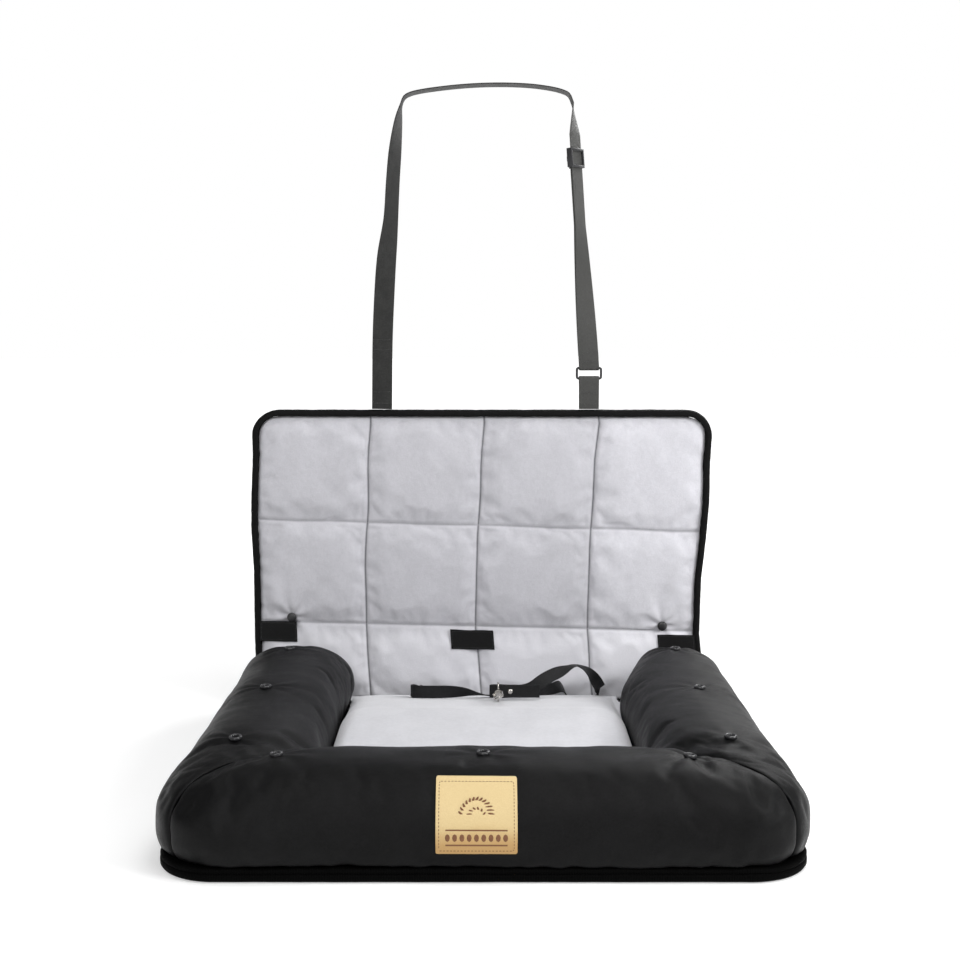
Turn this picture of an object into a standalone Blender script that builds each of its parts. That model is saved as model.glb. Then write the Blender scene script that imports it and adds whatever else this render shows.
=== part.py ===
"""Dog car seat pad: three stuffed bolsters round a cushion on a flat base, a quilted back panel that folds in
two places, a headrest strap with a slider and a tether with a swivel snap hook.

Metres, +Z up. X runs across the seat, the front faces -Y, and the origin is on the floor under the middle.
"""

import math

import bmesh
import bpy
from mathutils import Matrix, Vector

# Fits and fabric
GAP = 0.0003  # between two pieces that touch
FABRIC = 0.0015  # a sewn cover's wall
FILLING_SLACK = 0.0013  # between a cover's wall and what it is filled with
SEW_THROUGH = 0.0002  # each side of a mitre seam

# Overall
DEPTH = 0.575  # from the label's face to the panel's back
SLIDER_REACH = 0.0074  # the strap's slider reaches this far past the panel's back

# Back panel
PANEL_WIDTH = 0.575
PANEL_HEIGHT = 0.377
PANEL_THICKNESS = 0.015
PANEL_CORNER_RADIUS = 0.035
FOLD_Z = 0.103  # the seam that the upper half folds at
QUILT_SEAM_Z = 0.2316
QUILT_COLUMN = 0.1415
QUILT_DEPTH = 0.0045
BACKING = 0.0018
PANEL_BINDING = 0.008

# Base
BASE_WIDTH = PANEL_WIDTH
UNDERLAY = 0.0012
MAT_TOP_Z = 0.010
BASE_BINDING = 0.008
BINDING_HEIGHT = 0.017
BASE_CORNER_RADIUS = 0.055

# Bolsters
BOLSTER_OVERHANG = 0.008  # how far each bolster bulges out past the base
BOLSTER_WIDTH = 0.140
BULGE_Z = 0.045
CREST_Z = 0.092
BOLSTER_DROP = 0.050
BOLSTER_EXPONENT = 2.25
BOLSTER_CORNER_RADIUS = 0.077
INNER_CORNER_RADIUS = 0.002
END_TAPER_LENGTH = 0.073
END_TAPER_DROP = 0.62
END_TAPER_NARROW = 0.12
SLIM_LENGTH = 0.176  # over which the right bolster's inner half gets slimmer towards its rear end
SLIM_SHARE = 0.60
MITRE_DIP = 0.004
MITRE_REACH = 0.020
ARC_STEPS = 14

# Cushion
CUSHION_EDGE_Z = 0.020
CUSHION_CROWN = 0.034
CUSHION_SIDE_CLEARANCE = 0.0025
CUSHION_REAR_CREVICE = 0.0175
CUSHION_CORNER_DRAW = 0.20
CUSHION_STEPS = 12

# Trim
EYELET_RADIUS = 0.0062
EYELET_HOLE_RADIUS = 0.0030
EYELET_HEIGHT = 0.0022
EYELET_FRONT_PITCH = 0.186
EYELET_SIDE_FIRST = 0.051
EYELET_AHEAD_OF_TAPER = 0.0046
EYELET_SIDE_OFFSET = 0.0065
LABEL_WIDTH = 0.070
LABEL_LOW_Z = 0.0275
LABEL_HIGH_Z = 0.086
LABEL_THICKNESS = 0.0013
LABEL_SEAT = 0.0006
LABEL_X = -0.006
PATCH_WIDTH = 0.055
PATCH_HEIGHT = 0.025
PATCH_THICKNESS = 0.0012
PATCH_X = -0.006
SIDE_PATCH_INNER_X = 0.2315
SNAP_RADIUS = 0.006
SNAP_HEIGHT = 0.0025
SNAP_X = 0.238
SNAP_ABOVE_FOLD = 0.0085

# Headrest strap
WEBBING_WIDTH = 0.025
WEBBING = 0.0014
STRAP_AXIS_ABOVE_PANEL = 0.0011
STRAP_FOOT_GAP = 0.0005
LEG_TOP_X = 0.1100
LEG_FOOT_X = 0.1325
LEG_RISE = 0.371  # this and the next four are heights above the panel's top edge
STEADY_LOW = 0.226  # between this height and the next the right leg holds one twist
STEADY_HIGH = 0.335
SLIDER_RISE = 0.307
RING_TOP = 0.053
LEG_TWIST = math.radians(56)
RING_WIDTH = 0.033
RING_HEIGHT = 0.016
RING_WIRE_RADIUS = 0.0015
SEWN_END = 0.0130
SLIDER_WALL = 0.0020
SLIDER_LENGTH = 0.023
SLIDER_BAR = 0.0030

# Tether and snap hook
TETHER_WIDTH = 0.015
TETHER = 0.0012
EYE_WIRE_RADIUS = 0.0012
EYE_LENGTH = 0.009
EYE_X = 0.018
EYE_AHEAD = 0.1425  # in front of the back panel, as are the tether's other points
EYE_ABOVE_CUSHION = 0.0005
HOOK_TILT = math.radians(5)
HOOK_ROLL = math.radians(25)
HOOK_WIRE_RADIUS = 0.0016
HOOK_HALF_WIDTH = 0.0049
HOOK_BEND_AT = 0.0275
NOSE_AT = 0.0225
COLLAR_START = 0.0022
COLLAR_LENGTH = 0.0030
COLLAR_RADIUS = 0.00425
STEM_RADIUS = 0.0015
STEM_HEAD_RADIUS = 0.0024
STEM_HEAD = 0.0010
HOOK_BORE_CLEARANCE = 0.0003
GATE_PIVOT = Vector((0.0047, 0.0073, 0.0))
GATE_HALF_THICKNESS = 0.00085
GATE_PIN_RADIUS = 0.00055
GATE_PIN_CLEARANCE = 0.0002
RIVET_X = 0.032
RIVET_SHANK_RADIUS = 0.0011
RIVET_HEAD_RADIUS = 0.0030
RIVET_HEAD = 0.0010

# Places that follow from the sizes
PANEL_BACK_Y = (DEPTH - SLIDER_REACH) / 2
PANEL_FRONT_Y = PANEL_BACK_Y - PANEL_THICKNESS
BASE_REAR_Y = PANEL_FRONT_Y - GAP
BOLSTER_FRONT_Y = PANEL_BACK_Y - DEPTH + LABEL_SEAT + LABEL_THICKNESS
BOLSTER_REAR_Y = PANEL_FRONT_Y - 0.0025
BOLSTER_SPAN = BASE_WIDTH + 2 * BOLSTER_OVERHANG
OUTER_FOOT_Z = BINDING_HEIGHT + GAP
INNER_FOOT_Z = MAT_TOP_Z + GAP
CREST_IN = BOLSTER_WIDTH / 2
NEST_HALF_WIDTH = BOLSTER_SPAN / 2 - BOLSTER_WIDTH
CUSHION_HALF_X = NEST_HALF_WIDTH - CUSHION_SIDE_CLEARANCE
CUSHION_FRONT_Y = BOLSTER_FRONT_Y + BOLSTER_WIDTH + CUSHION_SIDE_CLEARANCE
CUSHION_REAR_Y = PANEL_FRONT_Y - CUSHION_REAR_CREVICE
CUSHION_HALF_Y = (CUSHION_REAR_Y - CUSHION_FRONT_Y) / 2
CUSHION_Y = (CUSHION_REAR_Y + CUSHION_FRONT_Y) / 2
STRAP_Y = PANEL_BACK_Y - PANEL_THICKNESS / 2
LEG_TOP_Z = PANEL_HEIGHT + LEG_RISE
STEADY_LOW_Z = PANEL_HEIGHT + STEADY_LOW
STEADY_HIGH_Z = PANEL_HEIGHT + STEADY_HIGH
SLIDER_Z = PANEL_HEIGHT + SLIDER_RISE
RING_TOP_Z = PANEL_HEIGHT + RING_TOP
LEG_TOP = Vector((LEG_TOP_X, STRAP_Y, LEG_TOP_Z))
LEG_FOOT = Vector((LEG_FOOT_X, STRAP_Y, RING_TOP_Z))
STRAP_AXIS = Vector((0, STRAP_Y, PANEL_HEIGHT + STRAP_AXIS_ABOVE_PANEL))
STRAP_FOOT_Z = PANEL_HEIGHT + STRAP_FOOT_GAP

# Looks: colour, roughness and metallic
BLACK_FABRIC = ((0.020, 0.020, 0.022), 0.50, 0.0)
BLACK_WEBBING = ((0.012, 0.012, 0.013), 0.60, 0.0)
BLACK_BINDING = ((0.028, 0.029, 0.028), 0.75, 0.0)
BLACK_PLASTIC = ((0.010, 0.010, 0.011), 0.35, 0.0)
HOOK_AND_LOOP = ((0.015, 0.015, 0.016), 0.95, 0.0)
GREY_PLUSH = ((0.620, 0.610, 0.650), 0.95, 0.0)
PALE_PLUSH = ((0.720, 0.720, 0.750), 0.95, 0.0)
WHITE_FIBRE = ((0.850, 0.850, 0.850), 0.90, 0.0)
GREY_BACKING = ((0.080, 0.080, 0.085), 0.85, 0.0)
BLACK_RUBBER = ((0.030, 0.030, 0.030), 0.80, 0.0)
TAN_LEATHERETTE = ((0.560, 0.420, 0.270), 0.55, 0.0)
STEEL = ((0.760, 0.760, 0.740), 0.22, 1.0)


def clear_scene():
    for obj in list(bpy.data.objects):
        bpy.data.objects.remove(obj, do_unlink=True)


def new_collection(name, hidden=False):
    made = bpy.data.collections.new(name)
    bpy.context.scene.collection.children.link(made)
    made.hide_render = hidden
    return made


clear_scene()
PARTS = new_collection("dog_car_seat_pad")
CUTTERS = new_collection("cutters", hidden=True)


# Placing pieces


def add_axis(name, at, parent=None):
    """An empty on a joint's axis, which carries the pieces that move about it."""
    empty = bpy.data.objects.new(name, None)
    empty.empty_display_size = 0.02
    PARTS.objects.link(empty)
    empty["world_at"] = list(at)
    empty.location = at
    if parent:
        empty.parent = parent
        empty.location = Vector(at) - Vector(parent["world_at"])
    return empty


def finish(obj, look, carrier=None, matrix=None):
    """Gives a piece its place, its own material and the axis that carries it."""
    color, roughness, metallic = look
    material = bpy.data.materials.new(obj.name)
    material.use_nodes = True
    shader = material.node_tree.nodes["Principled BSDF"]
    shader.inputs["Base Color"].default_value = (*color, 1.0)
    shader.inputs["Roughness"].default_value = roughness
    shader.inputs["Metallic"].default_value = metallic
    obj.data.materials.clear()
    obj.data.materials.append(material)
    PARTS.objects.link(obj)
    if matrix:
        obj.matrix_basis = matrix
    if carrier:
        obj.parent = carrier
        obj.matrix_parent_inverse = Matrix.Translation(-Vector(carrier["world_at"]))
    if obj.type == "MESH":
        obj.data.shade_smooth()
        obj.data.set_sharp_from_angle(angle=math.radians(38))
    return obj


def as_cutter(obj, matrix=None):
    """A helper that another piece's Boolean reads, left out of the object."""
    CUTTERS.objects.link(obj)
    obj.hide_render = True
    obj.display_type = "WIRE"
    if matrix:
        obj.matrix_basis = matrix
    return obj


def boolean(obj, helper, operation):
    modifier = obj.modifiers.new(operation.lower(), "BOOLEAN")
    modifier.operation = operation
    modifier.object = helper


# Making shapes


def mesh_object(name, bm):
    bmesh.ops.recalc_face_normals(bm, faces=bm.faces)
    mesh = bpy.data.meshes.new(name)
    bm.to_mesh(mesh)
    bm.free()
    return bpy.data.objects.new(name, mesh)


def loft(name, rings, halved=False):
    """A closed solid through rings of equally many points, capped at both ends.

    Halved faces keep the two sides of a twisted band parallel.
    """
    bm = bmesh.new()
    rows = [[bm.verts.new(point) for point in ring] for ring in rings]
    for near, far in zip(rows, rows[1:]):
        for i in range(len(near)):
            j = (i + 1) % len(near)
            a, b, c, d = near[i], near[j], far[j], far[i]
            if not halved:
                faces = [(a, b, c, d)]
            elif i == 2:
                faces = [(a, b, d), (b, c, d)]
            else:
                faces = [(a, b, c), (a, c, d)]
            for face in faces:
                bm.faces.new(face)
    bm.faces.new(rows[0])
    bm.faces.new(rows[-1])
    return mesh_object(name, bm)


def box(name, low, high):
    bm = bmesh.new()
    bmesh.ops.create_cube(bm, size=1)
    low, high = Vector(low), Vector(high)
    for vert in bm.verts:
        vert.co = (low + high) / 2 + Vector(a * b for a, b in zip(vert.co, high - low))
    return mesh_object(name, bm)


def cylinder(name, radius, start, length, axis="Z", sides=24):
    """A round bar along one of its own axes, from start."""
    bm = bmesh.new()
    bmesh.ops.create_cone(bm, cap_ends=True, segments=sides, radius1=radius, radius2=radius, depth=length)
    bmesh.ops.translate(bm, verts=bm.verts, vec=(0, 0, start + length / 2))
    turns = {"X": Matrix.Rotation(math.pi / 2, 4, "Y"), "Y": Matrix.Rotation(-math.pi / 2, 4, "X")}
    if axis in turns:
        bmesh.ops.transform(bm, matrix=turns[axis], verts=bm.verts)
    return mesh_object(name, bm)


def turned(name, profile, steps, closed):
    """A profile of (radius, height) points turned about Z, from the top down its outer side."""
    mesh = bpy.data.meshes.new(name)
    edges = [(i, i + 1) for i in range(len(profile) - 1)]
    if closed:
        edges.append((len(profile) - 1, 0))
    mesh.from_pydata([(radius, 0, height) for radius, height in profile], edges, [])
    obj = bpy.data.objects.new(name, mesh)
    screw = obj.modifiers.new("turn", "SCREW")
    screw.steps = steps
    screw.render_steps = steps
    screw.use_merge_vertices = True
    screw.merge_threshold = 0.00001
    return obj


def curve_object(name, outlines, dimensions, cyclic=True):
    curve = bpy.data.curves.new(name, "CURVE")
    curve.dimensions = dimensions
    for outline in outlines:
        spline = curve.splines.new("POLY")
        spline.points.add(len(outline) - 1)
        for place, point in zip(spline.points, outline):
            place.co = (*point, *[0.0] * (3 - len(point)), 1.0)
        spline.use_cyclic_u = cyclic
    return bpy.data.objects.new(name, curve)


def plate(name, outlines, thickness):
    """A flat outline, with any later ones as holes, centred on its own plane."""
    obj = curve_object(name, outlines, "2D")
    obj.data.fill_mode = "BOTH"
    obj.data.extrude = thickness / 2
    return obj


def wire(name, path, radius, cyclic=False):
    obj = curve_object(name, [path], "3D", cyclic)
    obj.data.bevel_depth = radius
    obj.data.bevel_resolution = 2
    obj.data.use_fill_caps = True
    return obj


def as_mesh(obj):
    """The same shape as a mesh with its caps welded, in place of a curve."""
    CUTTERS.objects.link(obj)
    graph = bpy.context.evaluated_depsgraph_get()
    mesh = bpy.data.meshes.new_from_object(obj.evaluated_get(graph))
    name = obj.name
    bpy.data.objects.remove(obj, do_unlink=True)
    bm = bmesh.new()
    bm.from_mesh(mesh)
    bmesh.ops.remove_doubles(bm, verts=bm.verts, dist=0.000001)
    return mesh_object(name, bm)


def surface(columns):
    """An open sheet through columns of points, as a bmesh."""
    bm = bmesh.new()
    grid = [[bm.verts.new(point) for point in column] for column in columns]
    for left, right in zip(grid, grid[1:]):
        for i in range(len(left) - 1):
            bm.faces.new((left[i], right[i], right[i + 1], left[i + 1]))
    return bm


def skirt(bm, axis, to):
    """Carries the sheet's rim straight to a plane, and returns the new rim's edges."""
    rim = [edge for edge in bm.edges if edge.is_boundary]
    grown = bmesh.ops.extrude_edge_only(bm, edges=rim)["geom"]
    for vert in grown:
        if isinstance(vert, bmesh.types.BMVert):
            vert.co[axis] = to
    return [edge for edge in bm.edges if edge.is_boundary]


def arc(centre, radius, start, stop, steps):
    """Points of a round corner, the angles in degrees."""
    angles = [math.radians(start + (stop - start) * k / steps) for k in range(steps + 1)]
    return [(centre[0] + radius * math.cos(a), centre[1] + radius * math.sin(a)) for a in angles]


def slope(before, at, after, back, ahead):
    """A curve's slope at a knot, from its neighbours and the spans to them."""
    if not back or not ahead:
        return (after - before) / (back + ahead)
    return (at - before) / back + (after - at) / ahead - (after - before) / (back + ahead)


def smooth_route(knots, longest):
    """A smooth curve through (position, width direction) knots, without overshoot where they lie close."""
    spans = [math.sqrt((b[0] - a[0]).length) for a, b in zip(knots, knots[1:])]
    spans = [0.0, *spans, 0.0]
    route = []
    for k in range(len(knots) - 1):
        ends = [knots[min(max(k + d, 0), len(knots) - 1)] for d in (-1, 0, 1, 2)]
        back, span, ahead = spans[k : k + 3]
        steps = max(1, math.ceil(span**2 / longest))
        for t in [i / steps for i in range(steps)]:
            pair = []
            for a, b, c, d in zip(*ends):
                leave = slope(a, b, c, back, span) * span
                arrive = slope(b, c, d, span, ahead) * span
                point = b * (2 * t**3 - 3 * t**2 + 1) + c * (3 * t**2 - 2 * t**3)
                pair.append(point + leave * (t**3 - 2 * t**2 + t) + arrive * (t**3 - t**2))
            route.append(pair)
    return route + [list(knots[-1])]


def ribbon(name, route, width, thickness):
    """Flat webbing along a route of (position, width direction) pairs."""
    legs = [(b[0] - a[0]).normalized() for a, b in zip(route, route[1:])]
    rings = []
    for (at, across), before, after in zip(route, [legs[0], *legs], [*legs, legs[-1]]):
        along = (before + after).normalized()
        across = (across - along * across.dot(along)).normalized()
        out = across.cross(along)
        half, deep = across * width / 2, out * thickness / 2
        rings.append([at + half + deep, at - half + deep, at - half - deep, at + half - deep])
    return loft(name, rings, halved=True)


UPRIGHT = Matrix.Rotation(math.pi / 2, 4, "X")  # stands a flat outline in X and Z


def standing(y):
    return Matrix.Translation((0, y, 0)) @ UPRIGHT


# Joint axes

lower_axis = add_axis("panel_lower_axis", (0, PANEL_BACK_Y, 0))
upper_axis = add_axis("panel_upper_axis", (0, PANEL_FRONT_Y, FOLD_Z), lower_axis)
strap_axis = add_axis("headrest_strap_axis", STRAP_AXIS, upper_axis)


# Base: anti-slip underlay, mat and the binding round three of its sides


def base_outline(inset, rear_y):
    """Round front corners and square rear ones."""
    half = BASE_WIDTH / 2 - inset
    front = BOLSTER_FRONT_Y + BOLSTER_OVERHANG + inset
    radius = BASE_CORNER_RADIUS - inset
    right = arc((half - radius, front + radius), radius, 0, -90, 10)
    left = [(-x, y) for x, y in reversed(right)]
    return [(half, rear_y), *right, *left, (-half, rear_y)]


def make_base():
    inside = base_outline(BASE_BINDING + GAP, BASE_REAR_Y)
    for name, low, high, look in (
        ("non_slip_underlay", 0, UNDERLAY, BLACK_RUBBER),
        ("base_mat", UNDERLAY + GAP, MAT_TOP_Z, BLACK_FABRIC),
    ):
        finish(plate(name, [inside], high - low), look, matrix=Matrix.Translation((0, 0, (low + high) / 2)))
    band = base_outline(0, BASE_REAR_Y) + base_outline(BASE_BINDING, BASE_REAR_Y)[::-1]
    at = Matrix.Translation((0, 0, BINDING_HEIGHT / 2))
    finish(plate("base_binding", [band], BINDING_HEIGHT), BLACK_BINDING, matrix=at)


make_base()


# Bolsters: three covers, sewn together at the front corners' mitre seams, and their fillings


def signed_power(value):
    return math.copysign(abs(value) ** (2 / BOLSTER_EXPONENT), value)


def bolster_arc(inset, start_z, stop_z, steps=ARC_STEPS):
    """The section's (distance in from the bulge, height) points, over the crest."""
    half = BOLSTER_WIDTH / 2 - inset
    rise = CREST_Z - BULGE_Z - inset
    drop = BOLSTER_DROP - inset

    def angle_at(z):
        share = (z - BULGE_Z) / (rise if z > BULGE_Z else drop)
        return math.asin(math.copysign(abs(share) ** (BOLSTER_EXPONENT / 2), share))

    start, stop = angle_at(start_z), math.pi - angle_at(stop_z)
    points = []
    for k in range(steps + 1):
        angle = start + (stop - start) * k / steps
        height = math.sin(angle)
        z = BULGE_Z + signed_power(height) * (rise if height > 0 else drop)
        points.append((CREST_IN - half * signed_power(math.cos(angle)), z))
    return points


def around(u, inward):
    """A plan point of the right half: u goes to 1 along the side, 2 round the corner, 3 along the front."""
    radius = max(BOLSTER_CORNER_RADIUS - inward, INNER_CORNER_RADIUS)
    centre_x = BOLSTER_SPAN / 2 - inward - radius
    centre_y = BOLSTER_FRONT_Y + inward + radius
    if u <= 1:
        return centre_x + radius, BOLSTER_REAR_Y + (centre_y - BOLSTER_REAR_Y) * u
    if u <= 2:
        turn = (u - 1) * math.pi / 2
        return centre_x + radius * math.cos(turn), centre_y - radius * math.sin(turn)
    return centre_x * (3 - u), centre_y - radius


def swell(u):
    """How high and how wide the bolster stands at u, as shares of its full section."""
    x, y = around(u, CREST_IN)
    from_mitre = math.hypot(x - (BOLSTER_SPAN / 2 - CREST_IN), y - (BOLSTER_FRONT_Y + CREST_IN))
    dip = MITRE_DIP / (CREST_Z - OUTER_FOOT_Z) * math.exp(-((from_mitre / MITRE_REACH) ** 2))
    end = max(0.0, (y - BOLSTER_REAR_Y + END_TAPER_LENGTH) / END_TAPER_LENGTH) if u <= 1 else 0.0
    return 1 - dip - END_TAPER_DROP * end**2, 1 - END_TAPER_NARROW * end**2


def slimmed(u, side):
    """The share of its width that the bolster's inner half keeps at u."""
    if side < 0 or u > 1:
        return 1.0
    near_end = max(0.0, (around(u, CREST_IN)[1] - BOLSTER_REAR_Y + SLIM_LENGTH) / SLIM_LENGTH)
    return 1 - SLIM_SHARE * near_end**1.2


def place_section(u, side, points, shift=0.0):
    """Section points stood up at u; shift moves them off the mitre's plane, towards the front."""
    high, wide = swell(u)
    placed = []
    for inward, z in points:
        kept = wide * slimmed(u, side) if inward > CREST_IN else wide
        x, y = around(u, CREST_IN + (inward - CREST_IN) * kept)
        if z > OUTER_FOOT_Z:
            z = OUTER_FOOT_Z + (z - OUTER_FOOT_Z) * high
        step = shift / math.sqrt(2)
        placed.append(Vector((side * (x - step), y - step, z)))
    return placed


def cover_section(hollow):
    """A cover's wall: out over the crest and back inside, or filled to the feet where it isn't hollow."""
    outer = bolster_arc(0, OUTER_FOOT_Z, INNER_FOOT_Z)
    inner = bolster_arc(FABRIC, OUTER_FOOT_Z, INNER_FOOT_Z)
    if not hollow:
        (d0, z0), (d1, z1) = inner[0], inner[-1]
        inner = [(d, z0 + (z1 - z0) * (d - d0) / (d1 - d0)) for d, _ in evenly(d0, d1)]
    return outer + inner[::-1]


def evenly(start, stop):
    return [(start + (stop - start) * k / ARC_STEPS, 0) for k in range(ARC_STEPS + 1)]


def filling_section():
    """What fits inside the cover, stepped at its outer foot over the base binding."""
    step_in = BOLSTER_OVERHANG + BASE_BINDING + 2 * GAP
    points = bolster_arc(FABRIC + FILLING_SLACK, OUTER_FOOT_Z + GAP, INNER_FOOT_Z + GAP)
    return points + [(step_in, INNER_FOOT_Z + GAP), (step_in, OUTER_FOOT_Z + GAP)]


SIDE_LENGTH = BOLSTER_REAR_Y - BOLSTER_FRONT_Y - BOLSTER_CORNER_RADIUS
SIDE_STATIONS = (0.03, 0.06, 0.10, 0.15, 0.30, 0.45, 0.60, 0.75, 0.88, 0.95, 1.0, 1.17, 1.33, 1.5)
FRONT_STATIONS = (1.5, 1.67, 1.83, 2.0, 2.1, 2.25, 2.5, 2.75)


def make_side_bolster(name, side):
    wall = FABRIC / SIDE_LENGTH
    hollow_stations = (wall * 1.1, wall * 2, *SIDE_STATIONS)
    stations = [(0, False), (wall, False), *[(u, True) for u in hollow_stations]]
    rings = []
    for u, hollow in stations:
        shift = -SEW_THROUGH if u == SIDE_STATIONS[-1] else 0
        rings.append(place_section(u, side, cover_section(hollow), shift))
    finish(loft(name + "_cover", rings), BLACK_FABRIC)
    inside = filling_section()
    starts = (wall * 2, *SIDE_STATIONS)
    shifts = [-2 * SEW_THROUGH if u == starts[-1] else 0 for u in starts]
    rings = [place_section(u, side, inside, shift) for u, shift in zip(starts, shifts)]
    finish(loft(name + "_filling", rings), WHITE_FIBRE)


def make_front_bolster():
    for name, section, seam, look in (
        ("front_bolster_cover", cover_section(True), SEW_THROUGH, BLACK_FABRIC),
        ("front_bolster_filling", filling_section(), 2 * SEW_THROUGH, WHITE_FIBRE),
    ):
        halves = {}
        for side in (1, -1):
            shifts = [seam if u == FRONT_STATIONS[0] else 0 for u in FRONT_STATIONS]
            halves[side] = [place_section(u, side, section, s) for u, s in zip(FRONT_STATIONS, shifts)]
        rings = halves[1] + [place_section(3, 1, section)] + halves[-1][::-1]
        finish(loft(name, rings), look)


make_side_bolster("right_bolster", 1)
make_side_bolster("left_bolster", -1)
make_front_bolster()


# Eyelets along the three crests


def make_eyelets():
    front_y = BOLSTER_FRONT_Y + CREST_IN
    side_x = BOLSTER_SPAN / 2 - CREST_IN + EYELET_SIDE_OFFSET
    places = {"front_left": (-EYELET_FRONT_PITCH, front_y), "front_middle": (0, front_y)}
    places["front_right"] = (EYELET_FRONT_PITCH, front_y)
    first = front_y + EYELET_SIDE_FIRST
    last = BOLSTER_REAR_Y - END_TAPER_LENGTH - EYELET_AHEAD_OF_TAPER
    for k, row in enumerate(("fore", "mid", "rear")):
        y = first + (last - first) * k / 2
        places["left_" + row] = (-side_x, y)
        places["right_" + row] = (side_x, y)
    profile = [
        (EYELET_HOLE_RADIUS, EYELET_HEIGHT * 0.7),
        ((EYELET_HOLE_RADIUS + EYELET_RADIUS) / 2, EYELET_HEIGHT),
        (EYELET_RADIUS, EYELET_HEIGHT * 0.45),
        (EYELET_RADIUS, 0),
        (EYELET_HOLE_RADIUS, 0),
    ]
    for name, (x, y) in places.items():
        ring = turned("eyelet_" + name, profile, 14, closed=True)
        finish(ring, BLACK_PLASTIC, matrix=Matrix.Translation((x, y, CREST_Z + GAP)))


make_eyelets()


# Leatherette label on the front bolster's face


def make_label():
    inner = bolster_arc(-LABEL_SEAT, LABEL_LOW_Z, CREST_Z, 40)
    outer = bolster_arc(-LABEL_SEAT - LABEL_THICKNESS, LABEL_LOW_Z, CREST_Z, 40)
    kept = [k for k, (d, z) in enumerate(inner) if d < CREST_IN and z < LABEL_HIGH_Z][::2]
    section = [outer[k] for k in kept] + [inner[k] for k in reversed(kept)]
    rings = []
    for x in (LABEL_X - LABEL_WIDTH / 2, LABEL_X + LABEL_WIDTH / 2):
        rings.append([Vector((x, BOLSTER_FRONT_Y + d, z)) for d, z in section])
    finish(loft("label_patch", rings), TAN_LEATHERETTE)


make_label()


# Cushion: a crowned cover open onto the mat, and its filling


def cushion_top(x, y):
    """The height of the cushion's crown."""
    across = min(1.0, abs(x) / CUSHION_HALF_X)
    along = min(1.0, abs(y - CUSHION_Y) / CUSHION_HALF_Y)
    return CUSHION_EDGE_Z + CUSHION_CROWN * (1 - along**1.6) * math.sqrt(1 - across**6)


def cushion_sheet(inset, sink):
    """The crown as an open sheet, drawn in at its corners and set in from the cover's outside."""
    shares = [math.sin(math.pi / 2 * k / CUSHION_STEPS) for k in range(-CUSHION_STEPS, CUSHION_STEPS + 1, 2)]
    columns = []
    for a in shares:
        column = []
        for b in shares:
            pull_x = math.sqrt(1 - CUSHION_CORNER_DRAW * b * b / 2)
            pull_y = math.sqrt(1 - CUSHION_CORNER_DRAW * a * a / 2)
            x, y = a * pull_x * CUSHION_HALF_X, b * pull_y * CUSHION_HALF_Y
            z = cushion_top(x, CUSHION_Y + y) - sink
            shrink = 1 - inset / CUSHION_HALF_X
            column.append((x * shrink, CUSHION_Y + y * shrink, z))
        columns.append(column)
    return surface(columns)


def make_cushion():
    bm = cushion_sheet(0, 0)
    skirt(bm, 2, MAT_TOP_Z + GAP)
    cover = mesh_object("cushion_cover", bm)
    wall = cover.modifiers.new("wall", "SOLIDIFY")
    wall.thickness = FABRIC
    wall.offset = -1
    wall.use_even_offset = True
    finish(cover, PALE_PLUSH)
    bm = cushion_sheet(2 * FABRIC + FILLING_SLACK, 2 * FABRIC)
    rim = skirt(bm, 2, MAT_TOP_Z + 2 * GAP)
    bmesh.ops.holes_fill(bm, edges=rim, sides=0)
    finish(mesh_object("cushion_filling", bm), WHITE_FIBRE)


make_cushion()


# Back panel: a quilt, a backing and a binding for each half


QUILT_HALF = PANEL_WIDTH / 2 - PANEL_BINDING - GAP
QUILT_SEAMS_X = (-QUILT_HALF, -QUILT_COLUMN, 0, QUILT_COLUMN, QUILT_HALF)
LOWER_SEAMS_Z = (PANEL_BINDING + GAP, FOLD_Z - GAP / 2)
UPPER_SEAMS_Z = (FOLD_Z + GAP / 2, QUILT_SEAM_Z, PANEL_HEIGHT - PANEL_BINDING - GAP)
QUILT_ARC_STEPS = 5
CELL_STATIONS = (0, 0.07, 0.22, 0.5, 0.78, 0.93)  # close together at the seams, where the quilt curves most


def pillow(value, seams):
    """How far a cell has swelled at a place between its two seams, from 0 to 1."""
    low = max(seam for seam in seams[:-1] if seam <= value)
    high = seams[seams.index(low) + 1]
    share = (value - low) / (high - low)
    return max(0.0, 4 * share * (1 - share)) ** 0.35


def quilt_y(x, z, seams_z):
    swelling = pillow(x, QUILT_SEAMS_X) * pillow(z, seams_z)
    return PANEL_FRONT_Y + GAP + QUILT_DEPTH * (1 - swelling)


def stations(seams):
    places = [low + (high - low) * share for low, high in zip(seams, seams[1:]) for share in CELL_STATIONS]
    return [*places, seams[-1]]


def quilt_sheet(seams_z, corner_radius):
    """The quilt's front: cells that swell between their seams, with round top corners if it has any."""
    heights = stations(seams_z)
    start = seams_z[-1] - corner_radius
    if corner_radius:
        heights = [z for z in heights if z < start - 0.006]
        heights += [z for _, z in arc((0, start), corner_radius, 0, 90, QUILT_ARC_STEPS)]
        heights[-1] = seams_z[-1]
    columns = []
    for x in stations(QUILT_SEAMS_X):
        column = []
        for z in heights:
            above = max(0.0, z - start) if corner_radius else 0.0
            drawn_in = corner_radius - math.sqrt(max(0.0, corner_radius**2 - above**2))
            outward = max(0.0, abs(x) - QUILT_COLUMN) / (QUILT_HALF - QUILT_COLUMN)
            column.append((x - math.copysign(drawn_in * outward, x), quilt_y(x, z, seams_z), z))
        columns.append(column)
    return surface(columns)


def make_quilt(name, seams_z, carrier, corner_radius=0):
    bm = quilt_sheet(seams_z, corner_radius)
    rim = skirt(bm, 1, PANEL_BACK_Y - BACKING - GAP)
    bmesh.ops.holes_fill(bm, edges=rim, sides=0)
    finish(mesh_object(name, bm), GREY_PLUSH, carrier)


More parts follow.
